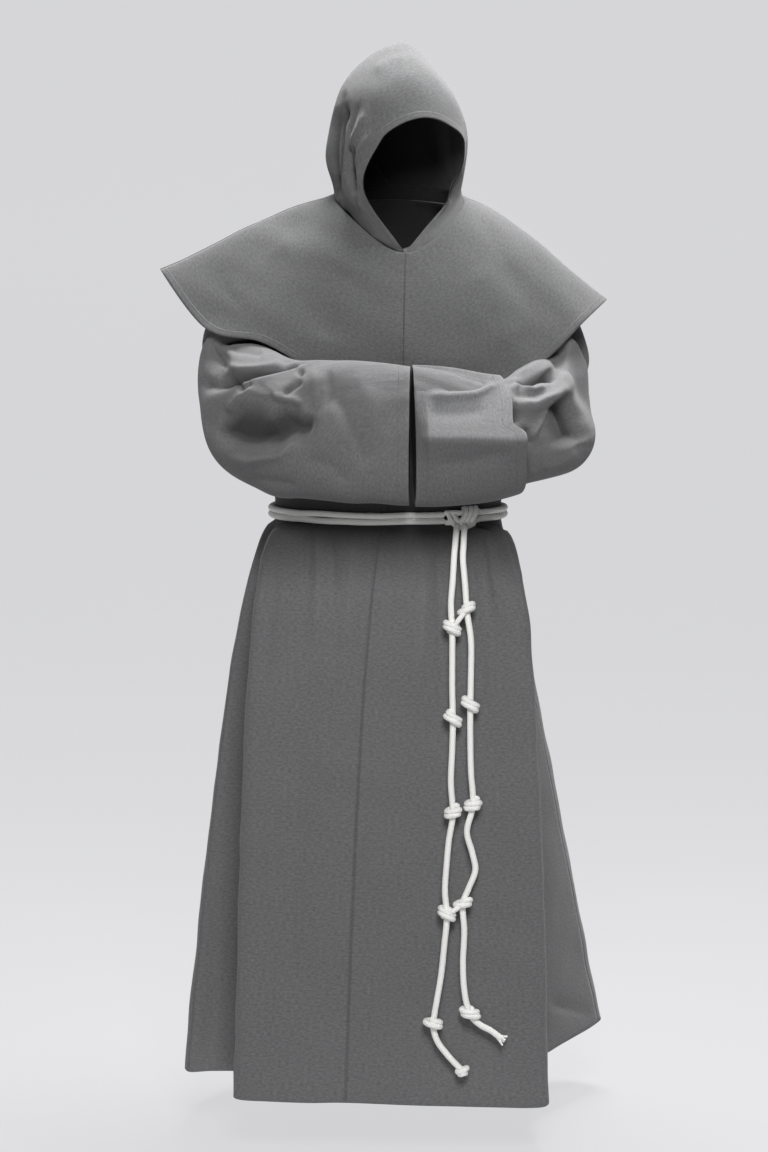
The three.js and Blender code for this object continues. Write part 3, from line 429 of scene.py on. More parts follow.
def hood_point(across, back):
    across, back = np.broadcast_arrays(np.asarray(across, float), np.asarray(back, float))
    at = {name: smooth(HOOD_ARCHES["at"], values, back) for name, values in HOOD_ARCHES.items()}
    is_right = across < 0
    up = 1 - np.abs(across)
    hinge = neck_ring(np.where(is_right, -1, 1) * mix(SEAM_DEGREES, 180 - SEAM_DEGREES, back))
    hinge = hinge + [0, 0, NECK_GAP]

    def crown(name):
        return hood_turned(mix(at["temple_y"], at["ridge_y"], HOOD_CROWN["ahead"]),
                           HOOD_CROWN["width"] * at[name],
                           mix(at["temple_h"], at["ridge_h"], HOOD_CROWN["height"]))

    def sided(right, left):
        return np.where(is_right[..., None], right, left)

    cheek = sided(hood_turned(at["cheek_y"], at["cheek_r"], at["cheek_h"]),
                  hood_turned(at["cheek_y"], at["cheek_l"], at["cheek_h"]))
    temple = sided(hood_turned(at["temple_y"], at["temple_r"], at["temple_h"]),
                   hood_turned(at["temple_y"], at["temple_l"], at["temple_h"]))
    here = sided(crown("temple_r"), crown("temple_l"))
    beyond = sided(crown("temple_l"), crown("temple_r"))
    ridge = hood_turned(at["ridge_y"], at["ridge_x"], at["ridge_h"])
    path = np.stack([hinge, cheek, temple, here, ridge, beyond], -1)
    point = joined(*(smooth(HOOD_STOPS, path[..., axis, :], up) for axis in range(3)))
    near = bell((back - HOOD_FOLD["back"]) / HOOD_FOLD["width"])
    low = 1 / (1 + np.exp((up - HOOD_FOLD["up_to"]) / (HOOD_FOLD["softness"] / 4)))
    depth = HOOD_FOLD["depth"] * near * low * np.minimum(1, up / HOOD_FOLD["softness"])
    peak = (HOOD_PEAK["rise"] * roof((1 - up) / HOOD_PEAK["width"])
            * bell((back - HOOD_PEAK["at"]) / HOOD_PEAK["length"]))
    return point + hood_turned(0, np.where(is_right, depth, 0), 0) + joined(0, 0, peak)


# ---------------------------------------------------------------- creases
def seen_from_front(points):
    """Where points show from the camera: millimetres across and up, at the wearer's middle."""
    away = points - EYE
    reach = np.linalg.norm(EYE[:2] - [EYE[0], 0]) / (away @ FORWARD)
    return np.stack([EYE[0] + away[..., 0] * reach, AIM_HEIGHT + (away @ UPWARD) * reach], -1)


def seen_from_behind(points):
    return points[..., [0, 2]]


def press(points, normals, creases, seen, facing):
    """Points pressed in along creases. Each crease is its line, half width and depth, raised
    where the depth is negative; a lean makes one side of it steep and the other soft."""
    flat = seen(points)
    depth = np.zeros(points.shape[:-1])
    for line, width, deep, lean in creases:
        line = np.array(line, float)
        lengths = np.linalg.norm(np.diff(line, axis=0), axis=1)
        starts = np.concatenate([[0], np.cumsum(lengths)])
        best = np.full(depth.shape, 1e9)
        along = np.zeros(depth.shape)
        side = np.zeros(depth.shape)
        for a, b, length, start in zip(line[:-1], line[1:], lengths, starts):
            t = np.clip(((flat - a) @ (b - a)) / length ** 2, 0, 1)
            off = flat - (a + t[..., None] * (b - a))
            distance = np.linalg.norm(off, axis=-1)
            closer = distance < best
            best = np.where(closer, distance, best)
            along = np.where(closer, (start + t * length) / starts[-1], along)
            beside = ((b - a)[0] * off[..., 1] - (b - a)[1] * off[..., 0]) / length
            side = np.where(closer, beside, side)
        taper = ease(0, CREASE["taper"], along) * ease(0, CREASE["taper"], 1 - along)
        taper = np.maximum(taper, CREASE["pinch"] * bell(best / width))
        off = best / (width * (1 + lean * np.tanh(side / width)))
        depth += deep * taper * mix(roof(off), bell(off), CREASE["soft"])
    return points - normals * (depth * ease(CREASE["grazing"], CREASE["facing"], facing))[..., None]


def unevenness(u, v, seed, size, waves=26):
    """Soft random unevenness of cloth, of about 1, with bumps of about that size across."""
    random = np.random.default_rng(seed)
    total = np.zeros(u.shape)
    for _ in range(waves):
        heading = random.uniform(0, math.tau)
        length = size * random.uniform(0.6, 2.2)
        phase = random.uniform(0, math.tau)
        total += np.sin((u * math.cos(heading) + v * math.sin(heading)) * math.tau / length + phase)
    return total / math.sqrt(waves)


# ---------------------------------------------------------------- meshes
def outward_of(points, closed):
    """Unit normals of a grid of points, pointing away from the grid's own inside."""
    if closed:
        across = np.roll(points, -1, 1) - np.roll(points, 1, 1)
    else:
        across = np.gradient(points, axis=1)
    return unit(np.cross(across, np.gradient(points, axis=0)))


def distances(points, axis):
    """How far each point of a grid is along its row or column, in metres."""
    steps = np.linalg.norm(np.diff(points, axis=axis), axis=-1) * MM
    first = np.zeros_like(np.take(steps, [0], axis))
    return np.cumsum(np.concatenate([first, steps], axis), axis)


def finish_piece(obj, nodes):
    bpy.context.scene.collection.objects.link(obj)
    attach(obj, "root")
    if nodes:
        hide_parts(*nodes)
    return obj


def mesh_object(name, vertices, faces, smooth_faces, uv_maps, material):
    """A mesh piece from points in millimetres; uv_maps hold one row for each corner of a face."""
    mesh = bpy.data.meshes.new(name)
    mesh.from_pydata(placed(vertices), [], faces)
    mesh.polygons.foreach_set("use_smooth", smooth_faces)
    for map_name, values in uv_maps.items():
        layer = mesh.uv_layers.new(name=map_name)
        layer.data.foreach_set("uv", np.ascontiguousarray(values, np.float32).ravel())
    mesh.materials.append(material)
    mesh.update()
    return bpy.data.objects.new(name, mesh)


def cloth_piece(name, outer, uncreased, looks, closed=False, hem_rows=(), seam_rows=()):
    """A wall of cloth 2 mm thick inside a grid of outer points, with rounded free edges. Its maps
    hold places in the weave, distances to the nearest hem and seam, both in metres, and the depth
    of its creases in centimetres. Its looks are the material outside and the one inside, which is
    the same cloth made near-black as painted shade."""
    rows, columns = outer.shape[:2]
    normals = outward_of(outer, closed)
    centre = outer.mean((0, 1))
    probe = ((outer - centre) * normals)[..., :2].sum(-1)
    if np.mean(np.sign(probe)) < 0:
        normals = -normals
    depth = ((uncreased - outer) * normals).sum(-1) / 10
    inner = outer - normals * CLOTH
    down = np.gradient(outer, axis=0)
    rims = [(outer[k] + inner[k]) / 2 + unit(down[k]) * sign * RIM
            for k, sign in ((rows - 1, 1), (0, -1))]
    loop = np.concatenate([outer, rims[0][None], inner[::-1], rims[1][None]])
    length = len(loop)
    vertices = loop.reshape(-1, 3)

    wrap = np.concatenate([outer, outer[:, :1]], 1) if closed else outer
    u, v = distances(wrap, 1), distances(wrap, 0)
    u = u - u[:, u.shape[1] // 2, None]
    hem, seam = np.full(u.shape, 1.0), np.full(u.shape, 1.0)
    for row in hem_rows:
        hem = np.minimum(hem, np.abs(v - v[row]))
    for row in seam_rows:
        seam = np.minimum(seam, np.abs(v - v[row]))
    if not closed:
        seam = np.minimum(seam, np.minimum(np.abs(u - u[:, :1]), np.abs(u[:, -1:] - u)))
    order = np.concatenate([np.arange(rows), [rows - 1], np.arange(rows)[::-1], [0]])

    i, j = np.meshgrid(np.arange(length), np.arange(columns if closed else columns - 1), indexing="ij")
    i, j = i.ravel(), j.ravel()
    after, beside = (i + 1) % length, (j + 1) % columns
    quads = np.stack([i * columns + j, after * columns + j,
                      after * columns + beside, i * columns + beside], -1)
    spots = np.stack([np.stack([order[i], j], -1), np.stack([order[after], j], -1),
                      np.stack([order[after], j + 1], -1), np.stack([order[i], j + 1], -1)], 1)
    smooth_faces = np.ones(len(quads), bool)
    # The inner faces take the inside look, a near-black painted shade.
    is_inner_face = i >= rows
    if not closed:
        k = np.arange(rows - 1)
        for column in (0, columns - 1):
            other = length - 2 - k
            cap = np.stack([k * columns + column, (k + 1) * columns + column,
                            (other - 1) * columns + column, other * columns + column], -1)
            where = np.stack([np.stack([at, np.full(at.shape, column)], -1)
                              for at in (k, k + 1, k + 1, k)], 1)
            if column == 0:
                cap, where = cap[:, ::-1], where[:, ::-1]
            quads = np.concatenate([quads, cap])
            spots = np.concatenate([spots, where])
            smooth_faces = np.concatenate([smooth_faces, np.zeros(len(cap), bool)])
            is_inner_face = np.concatenate([is_inner_face, np.zeros(len(cap), bool)])
    a, b, c, d = (vertices[quads[:, n]] for n in range(4))
    if (np.einsum("ij,ij->i", a - centre, np.cross(b - centre, c - centre)).sum()
            + np.einsum("ij,ij->i", a - centre, np.cross(c - centre, d - centre)).sum()) < 0:
        quads, spots = quads[:, ::-1], spots[:, ::-1]
    faces = quads.tolist()
    tips = []
    if not closed:
        for column in (0, columns - 1):
            for edge, rim, back in ((rows - 1, rows, rows + 1), (0, length - 1, length - 2)):
                tips.append([edge * columns + column, rim * columns + column, back * columns + column])
    pick = (spots[..., 0].ravel(), spots[..., 1].ravel())
    trough = np.concatenate([depth, depth[:, :1]], 1)[pick]
    maps = {"weave": (u[pick], v[pick]), "edges": (hem[pick], seam[pick]),
            "creases": (trough, 0 * trough)}
    maps = {key: np.stack(pair, -1) for key, pair in maps.items()}
    for tip in tips:
        faces.append(tip)
        smooth_faces = np.append(smooth_faces, False)
        is_inner_face = np.append(is_inner_face, False)
        maps = {key: np.concatenate([value, np.zeros((3, 2))]) for key, value in maps.items()}
    obj = mesh_object(f"{name}_cloth", vertices, faces, smooth_faces, maps, looks[0])
    obj.data.materials.append(looks[1])
    obj.data.polygons.foreach_set("material_index", is_inner_face.astype(np.int32))
    across, down = np.diff(outer, axis=1)[:-1], np.diff(outer, axis=0)
    area = float(np.linalg.norm(np.cross(across, down[:, :-1]), axis=-1).sum()) * MM * MM
    if closed:
        last = np.cross(outer[:-1, 0] - outer[:-1, -1], down[:, -1])
        area += float(np.linalg.norm(last, axis=-1).sum()) * MM * MM
    obj["area"] = area
    return finish_piece(obj, [name])


def spline(points, count):
    """Evenly spaced points of the smooth curve through points, and its length in millimetres."""
    points = np.asarray(points, float)
    places = np.concatenate([[0], np.cumsum(np.sqrt(np.linalg.norm(np.diff(points, axis=0), axis=1)))])
    fine = np.linspace(0, places[-1], max(40 * len(points), 4 * count))
    ends = np.concatenate([[2 * points[0] - points[1]], points, [2 * points[-1] - points[-2]]])
    gaps = np.sqrt(np.linalg.norm(np.diff(ends, axis=0), axis=1))
    knots = np.concatenate([[-gaps[0]], places, [places[-1] + gaps[-1]]])
    i = np.clip(np.searchsorted(knots, fine, side="right") - 1, 1, len(points) - 1)
    t0, t1, t2, t3 = (knots[i + k][:, None] for k in (-1, 0, 1, 2))
    p0, p1, p2, p3 = (ends[i + k] for k in (-1, 0, 1, 2))
    t = fine[:, None]
    a1 = (t1 - t) / (t1 - t0) * p0 + (t - t0) / (t1 - t0) * p1
    a2 = (t2 - t) / (t2 - t1) * p1 + (t - t1) / (t2 - t1) * p2
    a3 = (t3 - t) / (t3 - t2) * p2 + (t - t2) / (t3 - t2) * p3
    b1 = (t2 - t) / (t2 - t0) * a1 + (t - t0) / (t2 - t0) * a2
    b2 = (t3 - t) / (t3 - t1) * a2 + (t - t1) / (t3 - t1) * a3
    curve = (t2 - t) / (t2 - t1) * b1 + (t - t1) / (t2 - t1) * b2
    run = np.concatenate([[0], np.cumsum(np.linalg.norm(np.diff(curve, axis=0), axis=1))])
    at = np.linspace(0, run[-1], count)
    return np.stack([np.interp(at, run, curve[:, k]) for k in range(3)], -1), run[-1]


def frames_along(points):
    """Two directions square to a curve at each of its points, without twist."""
    ahead = unit(np.gradient(points, axis=0))
    side = np.zeros_like(points)
    start = np.cross(ahead[0], [0, 1, 0] if abs(ahead[0][1]) < 0.9 else [1, 0, 0])
    side[0] = start / np.linalg.norm(start)
    for k in range(1, len(points)):
        carried = side[k - 1] - ahead[k] * (side[k - 1] @ ahead[k])
        side[k] = carried / np.linalg.norm(carried)
    return ahead, side, np.cross(ahead, side)


def tube_parts(points, radius, sides=24, ends=1.0):
    """Vertices, faces and map of a tube round a curve; radius may vary along it. Its ends are
    rounded over `ends` radii."""
    ahead, side, other = frames_along(points)
    radius = np.broadcast_to(np.asarray(radius, float), (len(points),))
    cap_turns = np.radians([68, 40, 16])
    lead, tail = np.sin(cap_turns)[:, None], np.sin(cap_turns[::-1])[:, None]
    rings = np.concatenate([points[0] - ahead[0] * ends * radius[0] * lead, points,
                            points[-1] + ahead[-1] * ends * radius[-1] * tail])
    sizes = np.concatenate([radius[0] * np.cos(cap_turns), radius, radius[-1] * np.cos(cap_turns[::-1])])
    extra = len(cap_turns)
    side = np.concatenate([np.repeat(side[:1], extra, 0), side, np.repeat(side[-1:], extra, 0)])
    other = np.concatenate([np.repeat(other[:1], extra, 0), other, np.repeat(other[-1:], extra, 0)])
    turn = np.linspace(0, math.tau, sides, endpoint=False)
    ring = side[:, None] * np.cos(turn)[None, :, None] + other[:, None] * np.sin(turn)[None, :, None]
    body = rings[:, None] + ring * sizes[:, None, None]
    count = len(rings)
    tips = np.array([points[0] - ahead[0] * ends * radius[0], points[-1] + ahead[-1] * ends * radius[-1]])
    vertices = np.concatenate([body.reshape(-1, 3), tips])
    i, j = (grid.ravel() for grid in np.meshgrid(np.arange(count - 1), np.arange(sides), indexing="ij"))
    beside = (j + 1) % sides
    faces = np.stack([i * sides + j, i * sides + beside, (i + 1) * sides + beside, (i + 1) * sides + j], -1)
    run = np.concatenate([[0], np.cumsum(np.linalg.norm(np.diff(rings, axis=0), axis=1))]) * MM
    around = math.tau * float(radius.mean()) * MM / sides
    corner_u = np.stack([run[i], run[i], run[i + 1], run[i + 1]], -1)
    corner_v = np.stack([j, j + 1, j + 1, j], -1) * around
    uv = np.stack([corner_u, corner_v], -1).reshape(-1, 2)
    faces = faces.tolist()
    tip_uv = []
    for k in range(sides):
        faces.append([(k + 1) % sides, k, count * sides])
        faces.append([(count - 1) * sides + k, (count - 1) * sides + (k + 1) % sides, count * sides + 1])
        tip_uv += [[run[0], (k + 1) * around], [run[0], k * around], [run[0], k * around],
                   [run[-1], k * around], [run[-1], (k + 1) * around], [run[-1], k * around]]
    return vertices, faces, np.concatenate([uv, np.array(tip_uv)])


def rope_piece(name, strands, material, nodes):
    """One piece of rope from several tubes, each given as its points and radius."""
    vertices, faces, uv = [], [], []
    start = 0
    for points, radius, sides in strands:
        v, f, m = tube_parts(points, radius, sides)
        vertices.append(v)
        faces += [[corner + start for corner in face] for face in f]
        uv.append(m)
        start += len(v)
    vertices = np.concatenate(vertices)
    maps = {"weave": np.concatenate(uv)}
    obj = mesh_object(f"{name}_cotton", vertices, faces, np.ones(len(faces), bool), maps, material)
    return finish_piece(obj, nodes)


# ---------------------------------------------------------------- materials
class Wire:
    """A value in a material's node tree; arithmetic on it adds the nodes that work it out."""

    def __init__(self, tree, socket):
        self.tree = tree
        self.socket = socket

    def node(self, kind, settings=None, output=0, **inputs):
        """Any node: its type, its settings, then its inputs as input_<number or name>."""
        node = self.tree.nodes.new(kind)
        for key, value in (settings or {}).items():
            setattr(node, key, value)
        for key, value in inputs.items():
            key = key.replace("input_", "", 1).replace("_", " ")
            socket = node.inputs[int(key)] if key.isdigit() else node.inputs[key]
            if isinstance(value, Wire):
                self.tree.links.new(value.socket, socket)
            else:
                socket.default_value = value
        return Wire(self.tree, node.outputs[output])

    def math(self, operation, first, second=0.0):
        return self.node("ShaderNodeMath", {"operation": operation}, input_0=first, input_1=second)

    def __add__(self, other):
        return self.math("ADD", self, other)

    def __radd__(self, other):
        return self.math("ADD", other, self)

    def __sub__(self, other):
        return self.math("SUBTRACT", self, other)

    def __rsub__(self, other):
        return self.math("SUBTRACT", other, self)

    def __mul__(self, other):
        return self.math("MULTIPLY", self, other)

    def __rmul__(self, other):
        return self.math("MULTIPLY", other, self)

    def __truediv__(self, other):
        return self.math("DIVIDE", self, other)

    def __rtruediv__(self, other):
        return self.math("DIVIDE", other, self)

    def absolute(self):
        return self.math("ABSOLUTE", self)

    def sine(self):
        return self.math("SINE", self)

    def larger(self, other):
        return self.math("MAXIMUM", self, other)

    def smaller(self, other):
        return self.math("MINIMUM", self, other)

    def between(self, low, high):
        """0 below low, 1 above high, and smooth between."""
        return self.node("ShaderNodeMapRange", {"interpolation_type": "SMOOTHSTEP"},
                         input_Value=self, input_From_Min=low, input_From_Max=high)

    def noise(self, scale, detail=3.0):
        return self.node("ShaderNodeTexNoise", {"noise_dimensions": "3D"}, input_Vector=self,
                         input_Scale=scale, input_Detail=detail)

    def stretched(self, x, y, z=1.0):
        return self.node("ShaderNodeVectorMath", {"operation": "MULTIPLY"}, input_0=self,
                         input_1=(x, y, z))

    def part(self, axis):
        return self.node("ShaderNodeSeparateXYZ", output="XYZ".index(axis), input_0=self)

    def blend(self, first, second):
        """The mix of two colours by this value."""
        return self.node("ShaderNodeMix", {"data_type": "RGBA"}, output=2, input_0=self,
                         input_6=first, input_7=second)


def start_material(name):
    material = bpy.data.materials.new(name)
    material.use_nodes = True
    tree = material.node_tree
    shader = next(node for node in tree.nodes if node.type == "BSDF_PRINCIPLED")
    return material, shader, Wire(tree, None)


def bumped(root, shader, heights, colour, roughness):
    normal = None
    for height, distance, strength in heights:
        inputs = {"input_Height": height, "input_Distance": distance, "input_Strength": strength}
        if normal is not None:
            inputs["input_Normal"] = normal
        normal = root.node("ShaderNodeBump", **inputs)
    root.tree.links.new(normal.socket, shader.inputs["Normal"])
    root.tree.links.new(colour.socket, shader.inputs["Base Color"])
    root.tree.links.new(roughness.socket, shader.inputs["Roughness"])


def grey(value, tint=(1.0, 1.0, 1.02)):
    return tuple(value * t for t in tint) + (1.0,)


# Sizes in metres in the weave, the hems and the seams. Then the depths of crease, in centimetres,
# over which painted shade darkens the cloth in a trough or a painted highlight lightens it on a
# ridge, how far, and to what share of its tone. Last, the braid's pattern in metres.
WEAVE = {"thread": 0.0011, "stitch": 0.0034, "line_in": 0.003, "pucker": 0.021, "turn": 0.0012}
TROUGH_SHADE = {"depth": (0.3, 1.7), "share": 0.72, "tone": 0.16}
RIDGE_HIGHLIGHT = {"depth": (0.1, 1.3), "share": 0.35, "tone": 1.75}
BRAID = {"round": 0.0038, "along": 0.0105}


def cloth_material(name, tone, hem_width, waist_painted_shadow=0.0):
    """Matte mid-grey plain weave with a fleck, turned and stitched hems, and seams. Its creases carry
    painted shade in their troughs and painted highlights on their ridges, and, when asked, the cloth
    carries a painted shadow round the waist.
    """
    material, shader, root = start_material(name)
    place = root.node("ShaderNodeUVMap", {"uv_map": "weave"})
    edges = root.node("ShaderNodeUVMap", {"uv_map": "edges"})
    u, v = place.part("X"), place.part("Y")
    hem, seam = edges.part("X"), edges.part("Y")
    weft = place.stretched(260.0, 1500.0).noise(1.0, 2.0)
    warp = place.stretched(1500.0, 260.0).noise(1.0, 2.0)
    fleck = place.noise(620.0, 2.0)
    cloud = place.noise(7.0, 3.0)
    slub = place.stretched(34.0, 620.0).noise(1.0, 1.0).between(0.62, 0.74)
    threads = (u * (math.tau / WEAVE["thread"])).sine() * (v * (math.tau / WEAVE["thread"])).sine()
    band = 1.0 - hem.between(hem_width, hem_width + WEAVE["turn"])
    line = 1.0 - (hem - (hem_width - WEAVE["line_in"])).absolute().between(0.0005, 0.0011)
    dash = (u * (math.tau / WEAVE["stitch"])).sine().between(-0.45, 0.1)
    stitch = line * dash
    groove = 1.0 - seam.between(0.0004, 0.0035)
    pucker = (v * (math.tau / WEAVE["pucker"]) + cloud * 9.0).sine() * (1.0 - seam.between(0.002, 0.02))
    crumple = place.noise(26.0, 4.0)
    wear = 1.0 - hem.between(0.0, 0.004)
    grain = place.stretched(170.0, 330.0).noise(1.0, 4.0)
    shade = (weft + warp - 1.0) * 0.85 + (fleck - 0.5) * 0.55 + (cloud - 0.5) * 0.3 + slub * 0.1
    shade = shade + (grain - 0.5) * 2.4
    shade = shade - groove * 0.16 + stitch * 0.12 + wear * 0.14 - line * 0.08
    amount = (shade * 0.5 + 0.5).larger(0.0).smaller(1.0)
    colour = amount.blend(grey(tone * 0.58), grey(tone * 1.42))
    # Painted shade: the cloth darkens in the troughs of its creases, and painted highlights lighten it on
    # their ridges.
    depth = root.node("ShaderNodeUVMap", {"uv_map": "creases"}).part("X")
    trough = depth.between(*TROUGH_SHADE["depth"]) * TROUGH_SHADE["share"]
    colour = trough.blend(colour, grey(tone * TROUGH_SHADE["tone"]))
    ridge = (0.0 - depth).between(*RIDGE_HIGHLIGHT["depth"]) * RIDGE_HIGHLIGHT["share"]
    colour = ridge.blend(colour, grey(tone * RIDGE_HIGHLIGHT["tone"]))
    # Painted shadow: the cloth darkens in a band round the waist, where the sleeves shade it.
    if waist_painted_shadow:
        level = root.node("ShaderNodeTexCoord", output=3).part("Z") - WAIST_SHADOW_BAND["level"]
        near = 1.0 - level.absolute().between(WAIST_SHADOW_BAND["dark"], WAIST_SHADOW_BAND["reach"])
        colour = (near * waist_painted_shadow).blend(colour, grey(tone * 0.1))
    heights = [
        (crumple, 0.0025, 0.35),
        (band * 0.9 + pucker * 0.35 - groove * 1.1, 0.0008, 0.8),
        (stitch - line * 0.7, 0.0005, 0.8),
        (threads * 0.35 + (weft + warp) * 0.9 + slub * 0.6, 0.00035, 0.55),
    ]
    bumped(root, shader, heights, colour, 0.88 + (fleck - 0.5) * 0.15)
    shader.inputs["Sheen Weight"].default_value = 0.18
    shader.inputs["Sheen Roughness"].default_value = 0.5
    shader.inputs["Specular IOR Level"].default_value = 0.22
    return material


def rope_material(name, tone):
    """Off-white braided cotton, with the fine twist of its strands, a little soil, and painted shade in the
    braid's valleys.
    """
    material, shader, root = start_material(name)
    place = root.node("ShaderNodeUVMap", {"uv_map": "weave"})
    u, v = place.part("X"), place.part("Y")
    lean = v * (math.tau / BRAID["round"])
    run = u * (math.tau / BRAID["along"])
    right = (run + lean).sine()
    left = (run - lean).sine()
    braid = right.larger(left)
    yarn = ((run + lean) * 4.0).sine() * 0.5 + ((run - lean) * 4.0).sine() * 0.5
    fuzz = place.noise(1500.0, 3.0)
    soil = place.noise(16.0, 3.0)
    # Painted shade: the colour darkens in the valleys between the braid's strands.
    braid_valley_shade = 1.0 - braid.between(-0.6, 0.5)
    amount = (0.9 + (fuzz - 0.5) * 0.4 + (soil - 0.5) * 0.4 - braid_valley_shade * 0.2).larger(0.0).smaller(1.0)
    colour = amount.blend(grey(tone, (0.84, 0.82, 0.77)), grey(tone, (1.0, 0.995, 0.975)))
    heights = [(braid, 0.0006, 0.45), (yarn * 0.5 + fuzz, 0.0002, 0.4)]
    bumped(root, shader, heights, colour, 0.8 + (fuzz - 0.5) * 0.2)
    shader.inputs["Sheen Weight"].default_value = 0.2
    shader.inputs["Specular IOR Level"].default_value = 0.25
    return material


def stage_material(name, tone, glow):
    material, shader, root = start_material(name)
    place = root.node("ShaderNodeTexCoord", output=3)
    colour = place.noise(0.8, 2.0).blend(grey(tone * 0.99), grey(tone))
    behind = place.part("Y").between(-0.75, -0.2)
    shine = behind.blend(grey(tone * 0.15), colour)
    root.tree.links.new(colour.socket, shader.inputs["Base Color"])
    root.tree.links.new(shine.socket, shader.inputs["Emission Color"])
    shader.inputs["Emission Strength"].default_value = glow
    shader.inputs["Roughness"].default_value = 0.9
    shader.inputs["Specular IOR Level"].default_value = 0.1
    return material


# ---------------------------------------------------------------- the garment
# Creases: a line across and up, half width, depth and lean. Those in front are lines as they show
# from the camera at the wearer's middle.
FRONT_DENTS_BODY = [
    ([(148.8, 986), (161.6, 907.6), (169.6, 853.2)], 7, -6, 0.0),
    ([(155.2, 997.2), (164.8, 928.4), (169.6, 883.6)], 6, 6, 0.0),
    ([(166.4, 995.6), (187.2, 936.4), (204.8, 875.6)], 7, -5, 0.0),
    ([(-136, 981.2), (-134.4, 936.4), (-139.2, 875.6)], 8, 4, 0.0),
    ([(-123.2, 978), (-120, 896.4), (-126.4, 795.6)], 9, -5, 0.0),
    ([(-65.6, 974.8), (-68.8, 891.6), (-78.4, 763.6)], 12, -4, 0.0),
    ([(-33.6, 971.6), (-43.2, 859.6), (-59.2, 699.6)], 9, 4, 0.0),
    ([(43.2, 971.6), (49.6, 875.6), (40, 715.6)], 14, -5, 0.0),
    ([(68.8, 968.4), (75.2, 843.6), (81.6, 667.6)], 8, 4, 0.0),
    ([(123.2, 968.4), (129.6, 859.6), (148.8, 635.6)], 10, 4, 0.0),
    ([(-171.2, 971.6), (-177.6, 875.6), (-193.6, 699.6)], 10, 4, 0.0),
    ([(-148.8, 699.6), (-152, 459.6), (-164.8, 203.6)], 26, 4, 0.0),
    ([(43.2, 603.6), (49.6, 411.6), (62.4, 155.6)], 30, 4, 0.0),
    ([(-209.6, 795.6), (-222.4, 539.6), (-228.8, 283.6)], 9, -3, 0.0),
    ([(244.8, 216.4), (289.6, 205.2), (340.8, 186)], 8, 6, 0.5),
    ([(-100.8, 974.8), (-96, 923.6), (-94.4, 859.6)], 7, 4, 0.0),
    ([(11.2, 971.6), (14.4, 920.4), (11.2, 843.6)], 8, -4, 0.0),
    ([(142.4, 971.6), (148.8, 907.6), (161.6, 795.6)], 7, 4, 0.0),
]

# Creases on the sides away from the camera, square to the garment; the sleeves' are the left one's.
TUNIC_BACK_FOLDS = [
    ([(-120, 985), (-124, 920), (-132, 800)], 13, 6, 0.0),
    ([(-70, 985), (-66, 900), (-72, 760)], 14, -6, 0.0),
    ([(-20, 985), (-24, 930), (-18, 840)], 12, 5, 0.0),
    ([(34, 985), (40, 900), (36, 740)], 14, -6, 0.0),
    ([(90, 985), (86, 930), (96, 820)], 12, 6, 0.0),
    ([(-150, 1040), (-90, 1026), (-20, 1034)], 14, 6, 0.0),
    ([(20, 1040), (90, 1028), (150, 1044)], 14, 6, 0.0),
    ([(-130, 1150), (-80, 1085), (-20, 1060)], 22, 6, 0.3),
    ([(130, 1160), (84, 1090), (30, 1062)], 22, 6, -0.3),
    ([(-60, 1260), (-10, 1180), (4, 1090)], 26, -5, 0.0),
]
CAPE_BACK_FOLDS = [
    ([(-60, 1440), (-110, 1360), (-140, 1250)], 26, 6, 0.0),
    ([(20, 1440), (16, 1340), (30, 1215)], 24, -6, 0.0),
    ([(90, 1430), (130, 1350), (150, 1255)], 24, 6, 0.0),
    ([(-180, 1410), (-220, 1370), (-260, 1320)], 20, -5, 0.0),
]
SLEEVE_BACK_FOLDS = [
    ([(290, 1186), (272, 1170), (254, 1172)], 9, 7, 0.4),
    ([(296, 1136), (262, 1120), (222, 1140)], 13, -7, 0.0),
    ([(284, 1250), (270, 1232), (256, 1226)], 9, 6, 0.4),
    ([(280, 1096), (250, 1088), (214, 1108)], 12, 7, 0.0),
    ([(262, 1330), (250, 1290), (246, 1250)], 14, -6, 0.0),
]
HOOD_BACK_FOLDS = [
    ([(-96, 1560), (-60, 1590), (-36, 1650)], 12, 5, 0.4),
    ([(70, 1555), (50, 1590), (30, 1640)], 14, 5, 0.4),
    ([(-50, 1535), (-10, 1556), (40, 1540)], 12, 5, 0.0),
]


ARMHOLE_STEPS = ARMHOLE["low"] + (ARMHOLE["high"] - ARMHOLE["low"]) * (
    1 - np.cos(np.linspace(0, math.pi, 34))) / 2
TUNIC_LEVELS = np.concatenate([
    -np.linspace(1, 0.2, 92), -np.linspace(0.2, 0.01, 30)[1:], np.linspace(0, 4, 46)[:-1],
    ARMHOLE_STEPS, np.linspace(7, 9, 22)[1:]])


def tunic_places(angles, side):
    """Angle and level grids of half a tunic panel, its seam edges half a seam gap in."""
    levels = np.repeat(TUNIC_LEVELS[:, None], len(angles), 1)
    reach = armhole_reach(levels)
    angle = np.where(angles <= 90, angles * (90 - reach) / 90, 180 - (180 - angles) * (90 - reach) / 90)
    if angles[0] == 90:
        angle[:, 0] = 90 + reach[:, 0]
    width = np.linalg.norm(tunic_point(side * (angle + 0.5), levels)
                           - tunic_point(side * (angle - 0.5), levels), axis=-1)
    for column, inward in ((0, 1), (-1, -1)):
        if angles[column] != 180:
            angle[:, column] += inward * SEAM_SLIT / 2 / width[:, column]
    return side * angle, levels


def facing_camera(points, normals):
    return (unit(EYE - points) * normals).sum(-1)


def away_from_middle(points, normals, middle):
    side = ((points - middle) * normals).sum(-1)
    return normals if side.mean() > 0 else -normals


